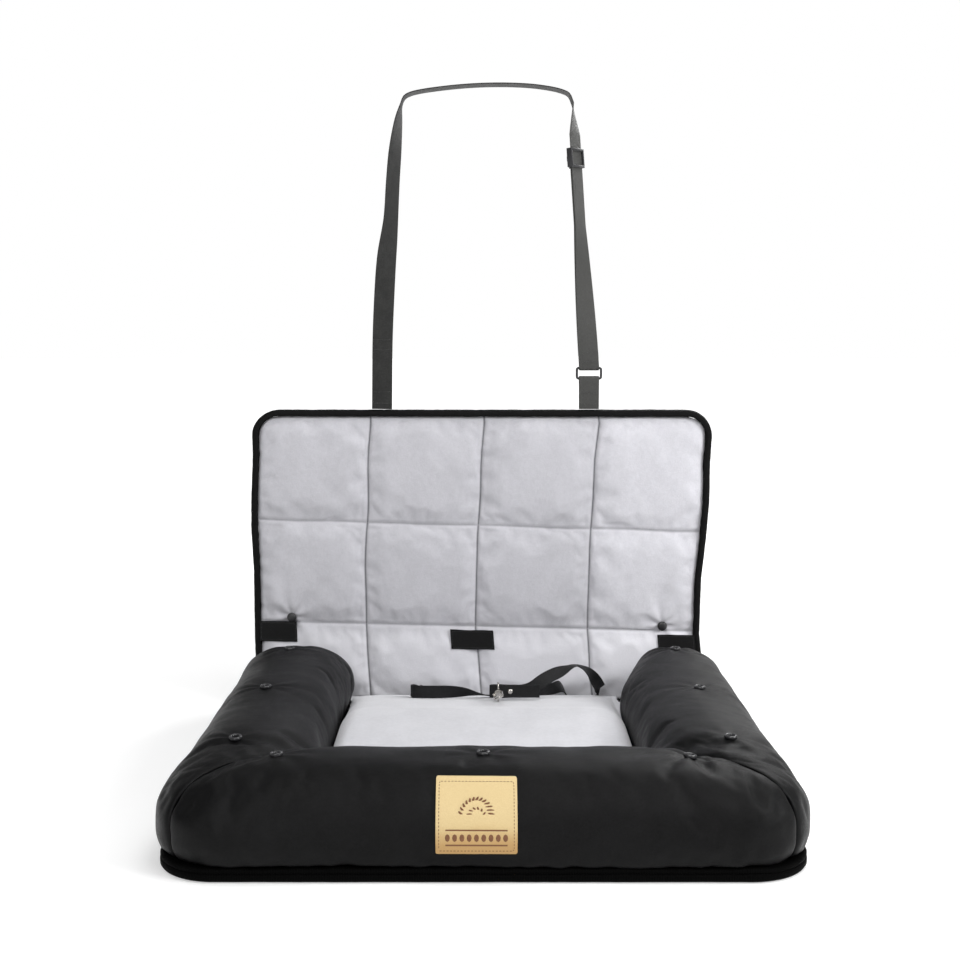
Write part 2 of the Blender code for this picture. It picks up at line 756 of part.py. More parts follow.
def panel_side(inset, low, high, radius):
    """The right half of a panel's outline, from its low edge up to its top."""
    half = PANEL_WIDTH / 2 - inset
    if not radius:
        return [(half, low), (half, high)]
    return [(half, low), *arc((half - radius + inset, high - radius + inset), radius - inset, 0, 90, 6)]


def mirrored(points):
    return [(-x, z) for x, z in reversed(points)]


def make_panel():
    fold_low, fold_high = FOLD_Z - GAP / 2, FOLD_Z + GAP / 2
    rim = PANEL_BINDING + GAP
    make_quilt("lower_quilt", LOWER_SEAMS_Z, lower_axis)
    top_radius = PANEL_CORNER_RADIUS - rim
    make_quilt("upper_quilt", UPPER_SEAMS_Z, upper_axis, top_radius)
    back_middle = standing(PANEL_BACK_Y - BACKING / 2)
    binding_middle = standing((PANEL_FRONT_Y + PANEL_BACK_Y) / 2)

    side = panel_side(rim, rim, fold_low, 0)
    finish(plate("lower_backing", [side + mirrored(side)], BACKING), GREY_BACKING, lower_axis, back_middle)
    outer = [(PANEL_WIDTH / 2, fold_low), (PANEL_WIDTH / 2, 0)]
    inner = [(PANEL_WIDTH / 2 - PANEL_BINDING, fold_low), (PANEL_WIDTH / 2 - PANEL_BINDING, PANEL_BINDING)]
    outline = outer + mirrored(outer) + (inner + mirrored(inner))[::-1]
    band = plate("lower_binding", [outline], PANEL_THICKNESS)
    finish(band, BLACK_BINDING, lower_axis, binding_middle)

    side = panel_side(rim, fold_high, PANEL_HEIGHT - rim, top_radius + rim)
    finish(plate("upper_backing", [side + mirrored(side)], BACKING), GREY_BACKING, upper_axis, back_middle)
    outer = panel_side(0, fold_high, PANEL_HEIGHT, PANEL_CORNER_RADIUS)
    inner = panel_side(PANEL_BINDING, fold_high, PANEL_HEIGHT - PANEL_BINDING, PANEL_CORNER_RADIUS)
    outline = outer + mirrored(outer) + (inner + mirrored(inner))[::-1]
    band = plate("upper_binding", [outline], PANEL_THICKNESS)
    finish(band, BLACK_BINDING, upper_axis, binding_middle)


make_panel()


# Hook-and-loop patches under the fold, and two snap caps above it


def seat_on_quilt(points, seams_z):
    """The plane of a flat piece laid against the quilt's highest point under it."""
    return min(quilt_y(x, z, seams_z) for x, z in points) - GAP


def make_patches():
    high = FOLD_Z - GAP
    low = high - PATCH_HEIGHT
    outer = QUILT_HALF
    for name, x0, x1 in (
        ("fastener_patch_left", -outer, -SIDE_PATCH_INNER_X),
        ("fastener_patch_middle", PATCH_X - PATCH_WIDTH / 2, PATCH_X + PATCH_WIDTH / 2),
        ("fastener_patch_right", SIDE_PATCH_INNER_X, outer),
    ):
        back = seat_on_quilt([(x0 + (x1 - x0) * k / 8, low) for k in range(9)], LOWER_SEAMS_Z)
        piece = box(name, (x0, back - PATCH_THICKNESS, low), (x1, back, high))
        finish(piece, HOOK_AND_LOOP, lower_axis)


def make_snap_caps():
    profile = [
        (0, SNAP_HEIGHT),
        (SNAP_RADIUS * 0.55, SNAP_HEIGHT * 0.92),
        (SNAP_RADIUS * 0.9, SNAP_HEIGHT * 0.6),
        (SNAP_RADIUS, 0),
        (0, 0),
    ]
    z = FOLD_Z + SNAP_ABOVE_FOLD
    for name, x in (("snap_cap_left", -SNAP_X), ("snap_cap_right", SNAP_X)):
        back = seat_on_quilt(arc((x, z), SNAP_RADIUS, 0, 360, 16), UPPER_SEAMS_Z)
        cap = turned(name, profile, 20, closed=False)
        at = Matrix.Translation((x, back, z)) @ UPRIGHT
        finish(cap, BLACK_PLASTIC, upper_axis, at)


make_patches()
make_snap_caps()


# Headrest strap: one length of webbing from the panel's left, over the top and down to the ring at its right


def leg_point(z, out=0.0):
    """A point on the right leg's line, and one set off to its face."""
    share = (z - LEG_FOOT.z) / (LEG_TOP.z - LEG_FOOT.z)
    at = LEG_FOOT.lerp(LEG_TOP, share)
    along, across, face = leg_frame(z)
    return at + face * out


def leg_twist(z):
    """The webbing lies face on at the ring and turns until it holds steady where the slider runs."""
    if z <= STEADY_LOW_Z:
        return LEG_TWIST * max(0.0, (z - RING_TOP_Z) / (STEADY_LOW_Z - RING_TOP_Z))
    share = max(0.0, (z - STEADY_HIGH_Z) / (LEG_TOP_Z - STEADY_HIGH_Z))
    return LEG_TWIST + (math.pi / 2 - LEG_TWIST) * share


def leg_frame(z):
    along = (LEG_TOP - LEG_FOOT).normalized()
    twist = leg_twist(z)
    across = Vector((math.cos(twist), math.sin(twist), 0))
    across = (across - along * across.dot(along)).normalized()
    return along, across, across.cross(along)


def leg_knot(z, out=0.0):
    return leg_point(z, out), leg_frame(z)[1]


WRAP_RADIUS = RING_WIRE_RADIUS + GAP + WEBBING / 2
RING_BAR = Vector((LEG_FOOT.x, STRAP_Y + WRAP_RADIUS, RING_TOP_Z - RING_WIRE_RADIUS))
BEHIND = WEBBING + GAP  # how far the returning run lies behind the main one
RETURN_START_Z = RING_TOP_Z + 0.0125
LEG_STATIONS = [LEG_TOP_Z + (STEADY_HIGH_Z - LEG_TOP_Z) * k / 4 for k in range(4)]
LEG_STATIONS += [STEADY_HIGH_Z, SLIDER_Z, (SLIDER_Z + STEADY_LOW_Z) / 2]
LEG_STATIONS += [STEADY_LOW_Z + (RETURN_START_Z - STEADY_LOW_Z) * k / 8 for k in range(9)]
ACROSS_X = Vector((1, 0, 0))


def make_strap():
    left_leg = (
        (-0.1250, STRAP_FOOT_GAP, 0),
        (-0.1236, 0.0860, 0),
        (-0.1214, 0.1350, 8),
        (-0.1180, 0.1850, 22),
        (-0.1125, 0.2320, 48),
        (-0.1095, 0.2800, 53),
        (-0.1065, 0.3160, 57),
        (-0.1020, 0.3530, 74),
        (-0.0985, 0.3710, 90),
    )
    top = ((-0.0950, 0.3790), (-0.0870, 0.3835), (-0.0400, 0.3910), (0.0150, 0.3942), (0.0650, 0.3922))
    top_right = ((0.0960, 0.3865), (0.1050, 0.3820))
    knots = []
    for x, above, twist in left_leg:
        turn = math.radians(twist)
        across = Vector((math.cos(turn), math.sin(turn), 0))
        knots.append((Vector((x, STRAP_Y, PANEL_HEIGHT + above)), across))
    for x, above in top + top_right:
        knots.append((Vector((x, STRAP_Y, PANEL_HEIGHT + above)), Vector((0, 1, 0))))
    route = smooth_route([*knots, leg_knot(LEG_TOP_Z)], 0.012)[:-1] + [leg_knot(z) for z in LEG_STATIONS]
    for k in range(5):
        turn = math.pi * (1 + k / 4)
        offset = Vector((0, math.cos(turn), math.sin(turn))) * WRAP_RADIUS
        route.append((RING_BAR + offset, ACROSS_X))
    route.append((RING_BAR + Vector((0, WRAP_RADIUS, 0.002)), ACROSS_X))
    route.append(leg_knot(RETURN_START_Z, -BEHIND))
    finish(ribbon("headrest_strap", route, WEBBING_WIDTH, WEBBING), BLACK_WEBBING, strap_axis)


def make_return_run():
    """The doubled stretch from the ring back up to the slider."""
    start, stop = RETURN_START_Z + 3 * GAP, SLIDER_Z - SEWN_END - GAP
    heights = [stop, *[z for z in LEG_STATIONS if start < z < stop], start]
    route = [leg_knot(z, -BEHIND) for z in heights]
    finish(ribbon("strap_return_run", route, WEBBING_WIDTH, WEBBING), BLACK_WEBBING, strap_axis)


def make_ring():
    """A rectangular wire ring between the webbing and its tab."""
    half_x = RING_WIDTH / 2 - RING_WIRE_RADIUS
    half_z = RING_HEIGHT / 2 - RING_WIRE_RADIUS
    corner = 0.0015
    quarter = arc((half_x - corner, half_z - corner), corner, 0, 90, 3)
    upper = quarter + [(-x, z) for x, z in reversed(quarter)]
    path = upper + [(-x, -z) for x, z in upper]
    middle = RING_TOP_Z - RING_HEIGHT / 2
    centre = Vector((RING_BAR.x, RING_BAR.y, middle))
    ring = wire("strap_ring", [(x, 0, z) for x, z in path], RING_WIRE_RADIUS, cyclic=True)
    finish(ring, BLACK_PLASTIC, strap_axis, Matrix.Translation(centre))


def make_tab():
    """The short loop that holds the ring to the panel's top edge."""
    low_bar_z = RING_TOP_Z - RING_HEIGHT + RING_WIRE_RADIUS
    x, y = RING_BAR.x, RING_BAR.y
    knots = [(x, STRAP_Y, STRAP_FOOT_Z), (x, STRAP_Y, low_bar_z - 0.010)]
    knots += [(x, y - WRAP_RADIUS * math.cos(t), low_bar_z + WRAP_RADIUS * math.sin(t)) for t in TAB_TURNS]
    knots += [(x, STRAP_Y + BEHIND, low_bar_z - 0.0125), (x, STRAP_Y + BEHIND, low_bar_z - 0.024)]
    route = smooth_route([(Vector(knot), ACROSS_X) for knot in knots], 0.02)
    finish(ribbon("ring_tab", route, WEBBING_WIDTH, WEBBING), BLACK_WEBBING, strap_axis)


TAB_TURNS = [math.pi * k / 4 for k in range(5)]


def slider_matrix():
    """The slider's own frame: X across the webbing, Y up along it, Z out of its face."""
    along, across, face = leg_frame(SLIDER_Z)
    matrix = Matrix((across, along, face)).transposed().to_4x4()
    return Matrix.Translation(leg_point(SLIDER_Z)) @ matrix


BAR_FACE = WEBBING / 2 + GAP
LOOP_FACE = BAR_FACE + WEBBING + GAP  # the middle bar lies behind the webbing and one layer of its sewn end


def make_slider():
    """End bars in front of the webbing, a middle bar behind it and rails past both its edges."""
    inner_x = WEBBING_WIDTH / 2 + GAP
    outer_x = inner_x + SLIDER_WALL
    half = SLIDER_LENGTH / 2
    front = BAR_FACE + SLIDER_WALL
    back = -LOOP_FACE - SLIDER_WALL
    body = box("strap_slider", (inner_x, -half, back), (outer_x, half, front))
    reach = (inner_x + outer_x) / 2
    middle = SLIDER_BAR / 2
    shy = 0.0001  # keeps the bars' faces off the rails' faces
    low, high = BAR_FACE, front - shy
    helpers = [
        box("slider_rail_helper", (-outer_x, -half, back), (-inner_x, half, front)),
        box("slider_low_bar_helper", (-reach, shy - half, low), (reach, SLIDER_BAR - half, high)),
        box("slider_high_bar_helper", (-reach, half - SLIDER_BAR, low), (reach, half - shy, high)),
        box("slider_middle_bar_helper", (-reach, -middle, back + shy), (reach, middle, -LOOP_FACE)),
    ]
    at = slider_matrix()
    for helper in helpers:
        boolean(body, as_cutter(helper, at), "UNION")
    finish(body, BLACK_PLASTIC, slider_axis, at)


def make_sewn_end():
    """The webbing's end, folded round the slider's middle bar and sewn to itself."""
    turn_radius = (SLIDER_WALL + 2 * GAP + WEBBING) / 2
    near, middle = -BAR_FACE - WEBBING / 2, -BAR_FACE - WEBBING / 2 - turn_radius
    far = middle - turn_radius
    turn_y = SLIDER_BAR / 2 - 0.0002
    knots = [(-SEWN_END, near), (-SEWN_END / 2, near), (0, near)]
    for k in range(5):
        t = math.pi * k / 4
        knots.append((turn_y + turn_radius * math.sin(t), middle + turn_radius * math.cos(t)))
    knots += [(-0.001, far), (-0.0035, far), (-0.0085, near - BEHIND), (-SEWN_END, near - BEHIND)]
    at = slider_matrix()
    route = smooth_route([(at @ Vector((0, y, z)), at.to_3x3() @ ACROSS_X) for y, z in knots], 0.02)
    finish(ribbon("strap_sewn_end", route, WEBBING_WIDTH, WEBBING), BLACK_WEBBING, slider_axis)


slider_axis = add_axis("strap_slider_axis", leg_point(SLIDER_Z), strap_axis)
make_strap()
make_return_run()
make_ring()
make_tab()
make_slider()
make_sewn_end()


# Tether: one length of webbing laid loosely on the cushion, from its anchor to the fold that holds the eye

UP = Vector((0, 0, 1))
EYE_Y = PANEL_FRONT_Y - EYE_AHEAD
EYE_HALF_HEIGHT = TETHER_WIDTH / 2 + 0.0012 + EYE_WIRE_RADIUS
EYE_RISE = EYE_ABOVE_CUSHION + EYE_HALF_HEIGHT + EYE_WIRE_RADIUS
EYE_BAR = Vector((EYE_X, EYE_Y, cushion_top(EYE_X, EYE_Y) + EYE_RISE))
FOLD_HALF = (TETHER + GAP) / 2
LOOP_HALF = EYE_WIRE_RADIUS + 0.0008 + TETHER / 2
STANDING_LIFT = TETHER_WIDTH / 2 + 0.0009
ANCHOR_X = -0.0620
ANCHOR_Y = PANEL_FRONT_Y - 0.0095
ANCHOR_Z = 0.0195


def fold_knots():
    """The riveted fold that the eye's rear bar runs through, standing on edge."""
    x, y = EYE_BAR.x, EYE_BAR.y
    ahead = [(0.048, FOLD_HALF), (0.030, FOLD_HALF), (0.012, FOLD_HALF), (0.004, LOOP_HALF - 0.0002)]
    ahead += [(-0.001, LOOP_HALF), (-0.006, LOOP_HALF - 0.0004), (-0.0085, LOOP_HALF / 2)]
    points = [(x + along, y - off) for along, off in ahead]
    points.append((x - 0.0095, y))
    points += [(x + along, y + off) for along, off in ahead[:1:-1]]
    points += [(x + 0.019, y + FOLD_HALF), (x + 0.026, y + FOLD_HALF)]
    return [(Vector((*point, EYE_BAR.z)), UP) for point in points]


def placed_knots(knots):
    """Knots from (x, distance ahead of the panel, z, width direction)."""
    return [(Vector((x, PANEL_FRONT_Y - ahead, z)), Vector(across)) for x, ahead, z, across in knots]


def arch_knots():
    """The free arch beside the hook, which comes down in the crevice's right-hand corner."""
    return placed_knots(
        (
            (0.0550, 0.1358, 0.0597, (0, 0.15, 0.99)),
            (0.0725, 0.1213, 0.0672, (0, 0.50, 0.87)),
            (0.0890, 0.1080, 0.0720, (0, 0.75, 0.66)),
            (0.1090, 0.0915, 0.0760, (0.05, 0.98, -0.15)),
            (0.1265, 0.0738, 0.0645, (0.40, 0.90, -0.15)),
            (0.1385, 0.0558, 0.0490, (0.65, 0.75, -0.05)),
            (0.1450, 0.0368, 0.0355, (0.60, 0.80, 0)),
            (0.1465, 0.0200, 0.0285, (0.30, 0.95, 0)),
        )
    )


def crevice_knots():
    """Flat along the crevice behind the cushion, then up over the cushion's rear edge."""
    return placed_knots(
        (
            (0.1450, 0.0093, 0.0170, (0.05, 1, 0)),
            (0.1370, 0.0090, 0.0120, (0, 1, 0)),
            (0.1240, 0.0090, 0.0114, (0, 1, 0)),
            (0.1130, 0.0090, 0.0120, (0, 1, 0)),
            (0.1065, 0.0093, 0.0165, (0, 1, 0)),
            (0.1020, 0.0180, 0.0278, (-0.15, 0.90, 0.35)),
            (0.0960, 0.0320, 0.0348, (-0.20, 0.45, 0.87)),
        )
    )


def lying_knots():
    """The rest, on the cushion's rear slope: (x, distance ahead of the panel, lean towards flat)."""
    forward = (
        (0.0850, 0.0480, 0.0),
        (0.0720, 0.0665, 0.0),
        (0.0520, 0.0860, 0.33),
        (0.0300, 0.0990, 0.85),
        (0.0080, 0.1080, 1.0),
        (-0.0070, 0.1130, 0.8),
        (-0.0210, 0.1165, 0.45),
        (-0.0370, 0.1195, 0.12),
        (-0.0550, 0.1205, 0.0),
        (-0.0740, 0.1175, 0.0),
        (-0.0840, 0.1095, 0.0),
    )
    back = (
        (-0.0840, 0.0985, 0.0),
        (-0.0825, 0.0860, 0.38),
        (-0.0795, 0.0700, 0.83),
        (-0.0780, 0.0520, 0.96),
        (-0.0785, 0.0350, 0.90),
        (-0.0810, 0.0200, 0.77),
    )
    knots = []
    for places, lean_along in ((forward, Vector((0, -1, 0))), (back, Vector((1, 0, 0)))):
        for x, ahead, lean in places:
            y = PANEL_FRONT_Y - ahead
            angle = lean * math.radians(78)
            across = lean_along * math.sin(angle) + UP * math.cos(angle)
            lift = STANDING_LIFT * math.cos(angle) + 0.0013 * math.sin(angle)
            knots.append((Vector((x, y, cushion_top(x, y) + lift)), across))
    return knots


def make_tether():
    knots = fold_knots() + arch_knots() + crevice_knots() + lying_knots()
    knots += [(Vector((-0.0785, PANEL_FRONT_Y - 0.0105, 0.0235)), UP)]
    knots += [(Vector((ANCHOR_X - off, ANCHOR_Y, ANCHOR_Z)), UP) for off in (0.008, 0.0035, GAP)]
    band = ribbon("tether_webbing", smooth_route(knots, 0.009), TETHER_WIDTH, TETHER)
    hole = cylinder("rivet_hole_cutter", RIVET_SHANK_RADIUS + GAP, -0.005, 0.010, "Y", 16)
    boolean(band, as_cutter(hole, Matrix.Translation((RIVET_X, EYE_BAR.y, EYE_BAR.z))), "DIFFERENCE")
    finish(band, BLACK_WEBBING)


def make_anchor():
    """The bar-tacked end of the tether, sewn down to the mat in the crevice behind the cushion."""
    low = (ANCHOR_X, ANCHOR_Y - 0.0018, MAT_TOP_Z + GAP)
    high = (ANCHOR_X + 0.022, ANCHOR_Y + 0.0018, ANCHOR_Z + TETHER_WIDTH / 2 + 0.0005)
    finish(box("tether_anchor", low, high), BLACK_WEBBING)


def make_rivet():
    stack = FOLD_HALF + TETHER / 2 + GAP
    top = stack + RIVET_HEAD
    profile = [
        (0, top),
        (RIVET_HEAD_RADIUS * 0.6, top - RIVET_HEAD * 0.15),
        (RIVET_HEAD_RADIUS, stack + RIVET_HEAD * 0.3),
        (RIVET_HEAD_RADIUS, stack),
        (RIVET_SHANK_RADIUS, stack),
        (RIVET_SHANK_RADIUS, -stack),
        (RIVET_HEAD_RADIUS, -stack),
        (RIVET_HEAD_RADIUS, -top),
        (0, -top),
    ]
    at = Matrix.Translation((RIVET_X, EYE_BAR.y, EYE_BAR.z)) @ UPRIGHT
    finish(turned("tether_rivet", profile, 16, closed=False), STEEL, matrix=at)


make_tether()
make_anchor()
make_rivet()


# Snap hook: its own frame has Y along the swivel's axis towards the tip, from the eye's front bar

HOOK_DIRECTION = Vector((0, -math.cos(HOOK_TILT), math.sin(HOOK_TILT)))
SWIVEL = EYE_BAR + HOOK_DIRECTION * EYE_LENGTH
HOOK_TURN = Matrix.Rotation(math.pi, 4, "Z") @ Matrix.Rotation(HOOK_TILT, 4, "X")
EYE_MATRIX = Matrix.Translation(SWIVEL) @ HOOK_TURN
HOOK_MATRIX = EYE_MATRIX @ Matrix.Rotation(HOOK_ROLL, 4, "Y")
HEAD_START = COLLAR_START + COLLAR_LENGTH + HOOK_BORE_CLEARANCE


def make_eye():
    """A wire loop with a headed stem that the hook's collar turns on."""
    corner = 0.002
    half = EYE_HALF_HEIGHT
    path = arc((-corner, half - corner), corner, 0, 90, 3)
    path += arc((corner - EYE_LENGTH, half - corner), corner, 90, 180, 3)
    path += [(y, -z) for y, z in reversed(path)]
    ring = as_mesh(wire("hook_eye", [(0, y, z) for y, z in path], EYE_WIRE_RADIUS, cyclic=True))
    stem = cylinder("stem_cutter", STEM_RADIUS, 0, HEAD_START + STEM_HEAD / 2, "Y", 16)
    head = cylinder("stem_head_cutter", STEM_HEAD_RADIUS, HEAD_START, STEM_HEAD, "Y", 16)
    for helper in (stem, head):
        boolean(ring, as_cutter(helper, EYE_MATRIX), "UNION")
    finish(ring, STEEL, matrix=EYE_MATRIX)


def hook_path():
    """From the collar along one side, round the tip and back to the nose."""
    side = [(-0.0033, 0.0037), (-0.0046, 0.0054), (-HOOK_HALF_WIDTH, 0.0080), (-HOOK_HALF_WIDTH, 0.0180)]
    bend = arc((0, HOOK_BEND_AT), HOOK_HALF_WIDTH, 180, 0, 8)
    return side + bend + [(HOOK_HALF_WIDTH, NOSE_AT)]


def make_hook():
    body = as_mesh(wire("snap_hook", [(x, y, 0) for x, y in hook_path()], HOOK_WIRE_RADIUS))
    collar = cylinder("collar_cutter", COLLAR_RADIUS, COLLAR_START, COLLAR_LENGTH, "Y", 24)
    boolean(body, as_cutter(collar, HOOK_MATRIX), "UNION")
    ear_in = GATE_HALF_THICKNESS + GAP
    ear_out = ear_in + 0.0011
    low_y, high_y = COLLAR_START + 0.0008, GATE_PIVOT.y + 0.0016
    for name, z0, z1 in (("upper_ear_cutter", ear_in, ear_out), ("lower_ear_cutter", -ear_out, -ear_in)):
        ear = box(name, (GATE_PIVOT.x - 0.0015, low_y, z0), (GATE_PIVOT.x + 0.0015, high_y, z1))
        boolean(body, as_cutter(ear, HOOK_MATRIX), "UNION")
    bore_radius = STEM_RADIUS + HOOK_BORE_CLEARANCE
    bore = cylinder("collar_bore_cutter", bore_radius, COLLAR_START - 0.001, COLLAR_LENGTH + 0.002, "Y", 16)
    pin_hole = cylinder("pin_hole_cutter", GATE_PIN_RADIUS + GATE_PIN_CLEARANCE, -0.004, 0.008, "Z", 12)
    boolean(body, as_cutter(bore, HOOK_MATRIX), "DIFFERENCE")
    boolean(body, as_cutter(pin_hole, HOOK_MATRIX @ Matrix.Translation(GATE_PIVOT)), "DIFFERENCE")
    finish(body, STEEL, hook_axis, HOOK_MATRIX)
    pin = cylinder("gate_pin", GATE_PIN_RADIUS, -ear_out - GAP, 2 * (ear_out + GAP), "Z", 10)
    finish(pin, STEEL, hook_axis, HOOK_MATRIX @ Matrix.Translation(GATE_PIVOT))


def make_gate():
    """A flat tongue from its pin to just short of the nose."""
    base, tip = 0.0015, 0.0012
    reach = NOSE_AT - 0.0004 - tip - GATE_PIVOT.y
    outline = arc((0, 0), base, 180, 360, 8) + arc((HOOK_HALF_WIDTH - GATE_PIVOT.x, reach), tip, 0, 180, 6)
    hole = arc((0, 0), GATE_PIN_RADIUS + GATE_PIN_CLEARANCE, 0, 330, 11)
    gate = plate("hook_gate", [outline, hole], 2 * GATE_HALF_THICKNESS)
    finish(gate, STEEL, gate_axis, HOOK_MATRIX @ Matrix.Translation(GATE_PIVOT))


hook_axis = add_axis("snap_hook_axis", SWIVEL)
gate_axis = add_axis("hook_gate_axis", HOOK_MATRIX @ GATE_PIVOT, hook_axis)
make_eye()
make_hook()
make_gate()
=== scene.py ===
"""Dog car seat pad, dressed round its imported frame.

Metres, +Z up. X runs across the seat, the front faces -Y, and the origin is on the floor under the middle.
"""

import math

import bmesh
import bpy
import numpy as np
from mathutils import Matrix, Vector, noise
from mathutils.bvhtree import BVHTree


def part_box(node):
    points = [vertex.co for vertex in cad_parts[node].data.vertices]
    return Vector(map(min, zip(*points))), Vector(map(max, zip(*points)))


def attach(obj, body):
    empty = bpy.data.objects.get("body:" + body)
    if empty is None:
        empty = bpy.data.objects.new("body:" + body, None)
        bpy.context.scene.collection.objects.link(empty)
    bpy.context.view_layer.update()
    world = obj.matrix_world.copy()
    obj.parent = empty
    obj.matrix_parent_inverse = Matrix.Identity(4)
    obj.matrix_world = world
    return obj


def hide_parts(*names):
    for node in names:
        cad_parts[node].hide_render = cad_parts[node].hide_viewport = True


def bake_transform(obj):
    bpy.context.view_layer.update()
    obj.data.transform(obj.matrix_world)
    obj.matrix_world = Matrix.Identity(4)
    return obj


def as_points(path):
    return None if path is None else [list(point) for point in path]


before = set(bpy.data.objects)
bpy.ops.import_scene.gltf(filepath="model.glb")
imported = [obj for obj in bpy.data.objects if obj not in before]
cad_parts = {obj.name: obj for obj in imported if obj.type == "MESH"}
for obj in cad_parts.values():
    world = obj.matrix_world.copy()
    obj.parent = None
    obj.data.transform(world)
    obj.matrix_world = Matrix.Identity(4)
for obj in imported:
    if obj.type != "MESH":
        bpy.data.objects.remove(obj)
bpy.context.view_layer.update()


# Camera: straight in front of the seat pad, above the height of the panel, looking a little down. The view
# transform is Standard, so the cloth's colours come out as they are set here.


def linked(name, data):
    """A new object, put in the scene."""
    thing = bpy.data.objects.new(name, data)
    bpy.context.scene.collection.objects.link(thing)
    return thing


camera = linked("camera", bpy.data.cameras.new("camera"))
camera.data.lens = 50
camera.data.sensor_width = 36
camera.location = (-0.003, -1.3842, 0.465)
camera.rotation_euler = (math.radians(83.94), 0, 0)
bpy.context.scene.camera = camera
bpy.context.scene.view_settings.view_transform = "Standard"


# Studio: a pale floor that keeps the shadow, a white surround and four soft lamps. The floor's glow is seen by
# the camera and in reflections only, so it lights nothing. The surround lights the cloth faintly from all sides.

FILL_LIGHT = 0.34


class Value:
    """A number that varies over a surface. Arithmetic on it adds Math nodes to its finish."""

    def __init__(self, finish, socket):
        self.finish = finish
        self.socket = socket

    def math(self, operation, *operands):
        return self.finish.add("ShaderNodeMath", {"operation": operation}, dict(enumerate(operands)))

    def __add__(self, other):
        return self.math("ADD", self, other)

    def __rsub__(self, other):
        return self.math("SUBTRACT", other, self)

    def __mul__(self, other):
        return self.math("MULTIPLY", self, other)

    __radd__ = __add__
    __rmul__ = __mul__

    def sine(self):
        return self.math("SINE", self)

    def lowest(self, other):
        return self.math("MINIMUM", self, other)


class Finish:
    """A material for one of the seat pad's finishes, round one Principled shader."""

    def __init__(self, name, color, roughness, **constants):
        self.material = bpy.data.materials.new(name)
        self.material.use_nodes = True
        self.tree = self.material.node_tree
        self.shader = self.tree.nodes["Principled BSDF"]
        self.set("Base Color", (*color, 1.0))
        self.set("Roughness", roughness)
        for socket, value in constants.items():
            self.set(socket.replace("_", " "), value)

    def set(self, socket, value):
        self.feed(self.shader.inputs[socket], value)

    def feed(self, socket, value):
        if isinstance(value, Value):
            self.tree.links.new(value.socket, socket)
        else:
            socket.default_value = value

    def add(self, kind, settings=None, inputs=None, output=0):
        """Adds a node: its settings first, then its sockets' values or links. Gives one of its outputs."""
        node = self.tree.nodes.new(kind)
        for name, setting in (settings or {}).items():
            setattr(node, name, setting)
        for socket, value in (inputs or {}).items():
            self.feed(node.inputs[socket], value)
        return Value(self, node.outputs[output])

    def place(self):
        return self.add("ShaderNodeTexCoord", output="Object")

    def weave_place(self):
        """Across and along a piece's own cloth, in metres."""
        return self.add("ShaderNodeUVMap", {"uv_map": "metres"})

    def along(self, vector, axis):
        return self.add("ShaderNodeSeparateXYZ", None, {0: vector}, axis)

    def stretched(self, vector, scale):
        return self.add("ShaderNodeMapping", None, {"Vector": vector, "Scale": scale})

    def noise(self, vector, size, detail=3.0, roughness=0.5):
        """Smooth noise from 0 to 1, with features of about that size in metres."""
        inputs = {"Vector": vector, "Scale": 1 / size, "Detail": detail, "Roughness": roughness}
        return self.add("ShaderNodeTexNoise", None, inputs)

    def ranged(self, value, low, high, to_low=0.0, to_high=1.0):
        settings = {"interpolation_type": "SMOOTHSTEP"}
        return self.add("ShaderNodeMapRange", settings, {0: value, 1: low, 2: high, 3: to_low, 4: to_high})

    def mixed(self, share, first, second):
        colors = [c if isinstance(c, Value) else (*c, 1.0) for c in (first, second)]
        return self.add("ShaderNodeMix", {"data_type": "RGBA"}, {0: share, 6: colors[0], 7: colors[1]}, 2)

    def raised(self, height, distance, strength=1.0):
        """The height field, from 0 to 1, stands up by that distance in metres."""
        inputs = {"Height": height, "Distance": distance, "Strength": strength}
        self.set("Normal", self.add("ShaderNodeBump", None, inputs))


def seen_ray(finish):
    """1 on rays from the camera, from a mirror or through glass."""
    kinds = ("Camera", "Glossy", "Transmission")
    camera_ray, mirror_ray, glass_ray = [finish.add("ShaderNodeLightPath", output=f"Is {kind} Ray") for kind in kinds]
    return (camera_ray + mirror_ray + glass_ray).lowest(1.0)


def make_floor():
    """Its glow grows from the seat pad outwards, so the shadow shows near it and the far floor is white."""
    near, distant, near_glow, size = 0.55, 1.9, 0.34, 30
    finish = Finish("studio_floor", (0.80, 0.80, 0.80), 0.9, Emission_Strength=1.0)
    far = finish.add("ShaderNodeVectorMath", {"operation": "LENGTH"}, {0: finish.place()}, "Value")
    share = seen_ray(finish) * finish.ranged(far, near, distant, near_glow, 1.0)
    finish.set("Emission Color", finish.mixed(share, (0, 0, 0), (1, 1, 1)))
    bm = bmesh.new()
    bmesh.ops.create_circle(bm, cap_ends=True, segments=96, radius=size)
    mesh = bpy.data.meshes.new("studio_floor")
    bm.to_mesh(mesh)
    bm.free()
    mesh.materials.append(finish.material)
    floor = linked("studio_floor", mesh)
    floor.location.z = -0.0005


def make_surround():
    world = bpy.data.worlds.new("studio")
    world.use_nodes = True
    bpy.context.scene.world = world
    tree = world.node_tree
    tree.nodes.clear()
    path = tree.nodes.new("ShaderNodeLightPath")
    light, shown = tree.nodes.new("ShaderNodeBackground"), tree.nodes.new("ShaderNodeBackground")
    light.inputs["Strength"].default_value = FILL_LIGHT
    shown.inputs["Strength"].default_value = 1.0
    for background in (light, shown):
        background.inputs["Color"].default_value = (1, 1, 1, 1)
    mix, out = tree.nodes.new("ShaderNodeMixShader"), tree.nodes.new("ShaderNodeOutputWorld")
    tree.links.new(path.outputs["Is Camera Ray"], mix.inputs[0])
    tree.links.new(light.outputs[0], mix.inputs[1])
    tree.links.new(shown.outputs[0], mix.inputs[2])
    tree.links.new(mix.outputs[0], out.inputs[0])


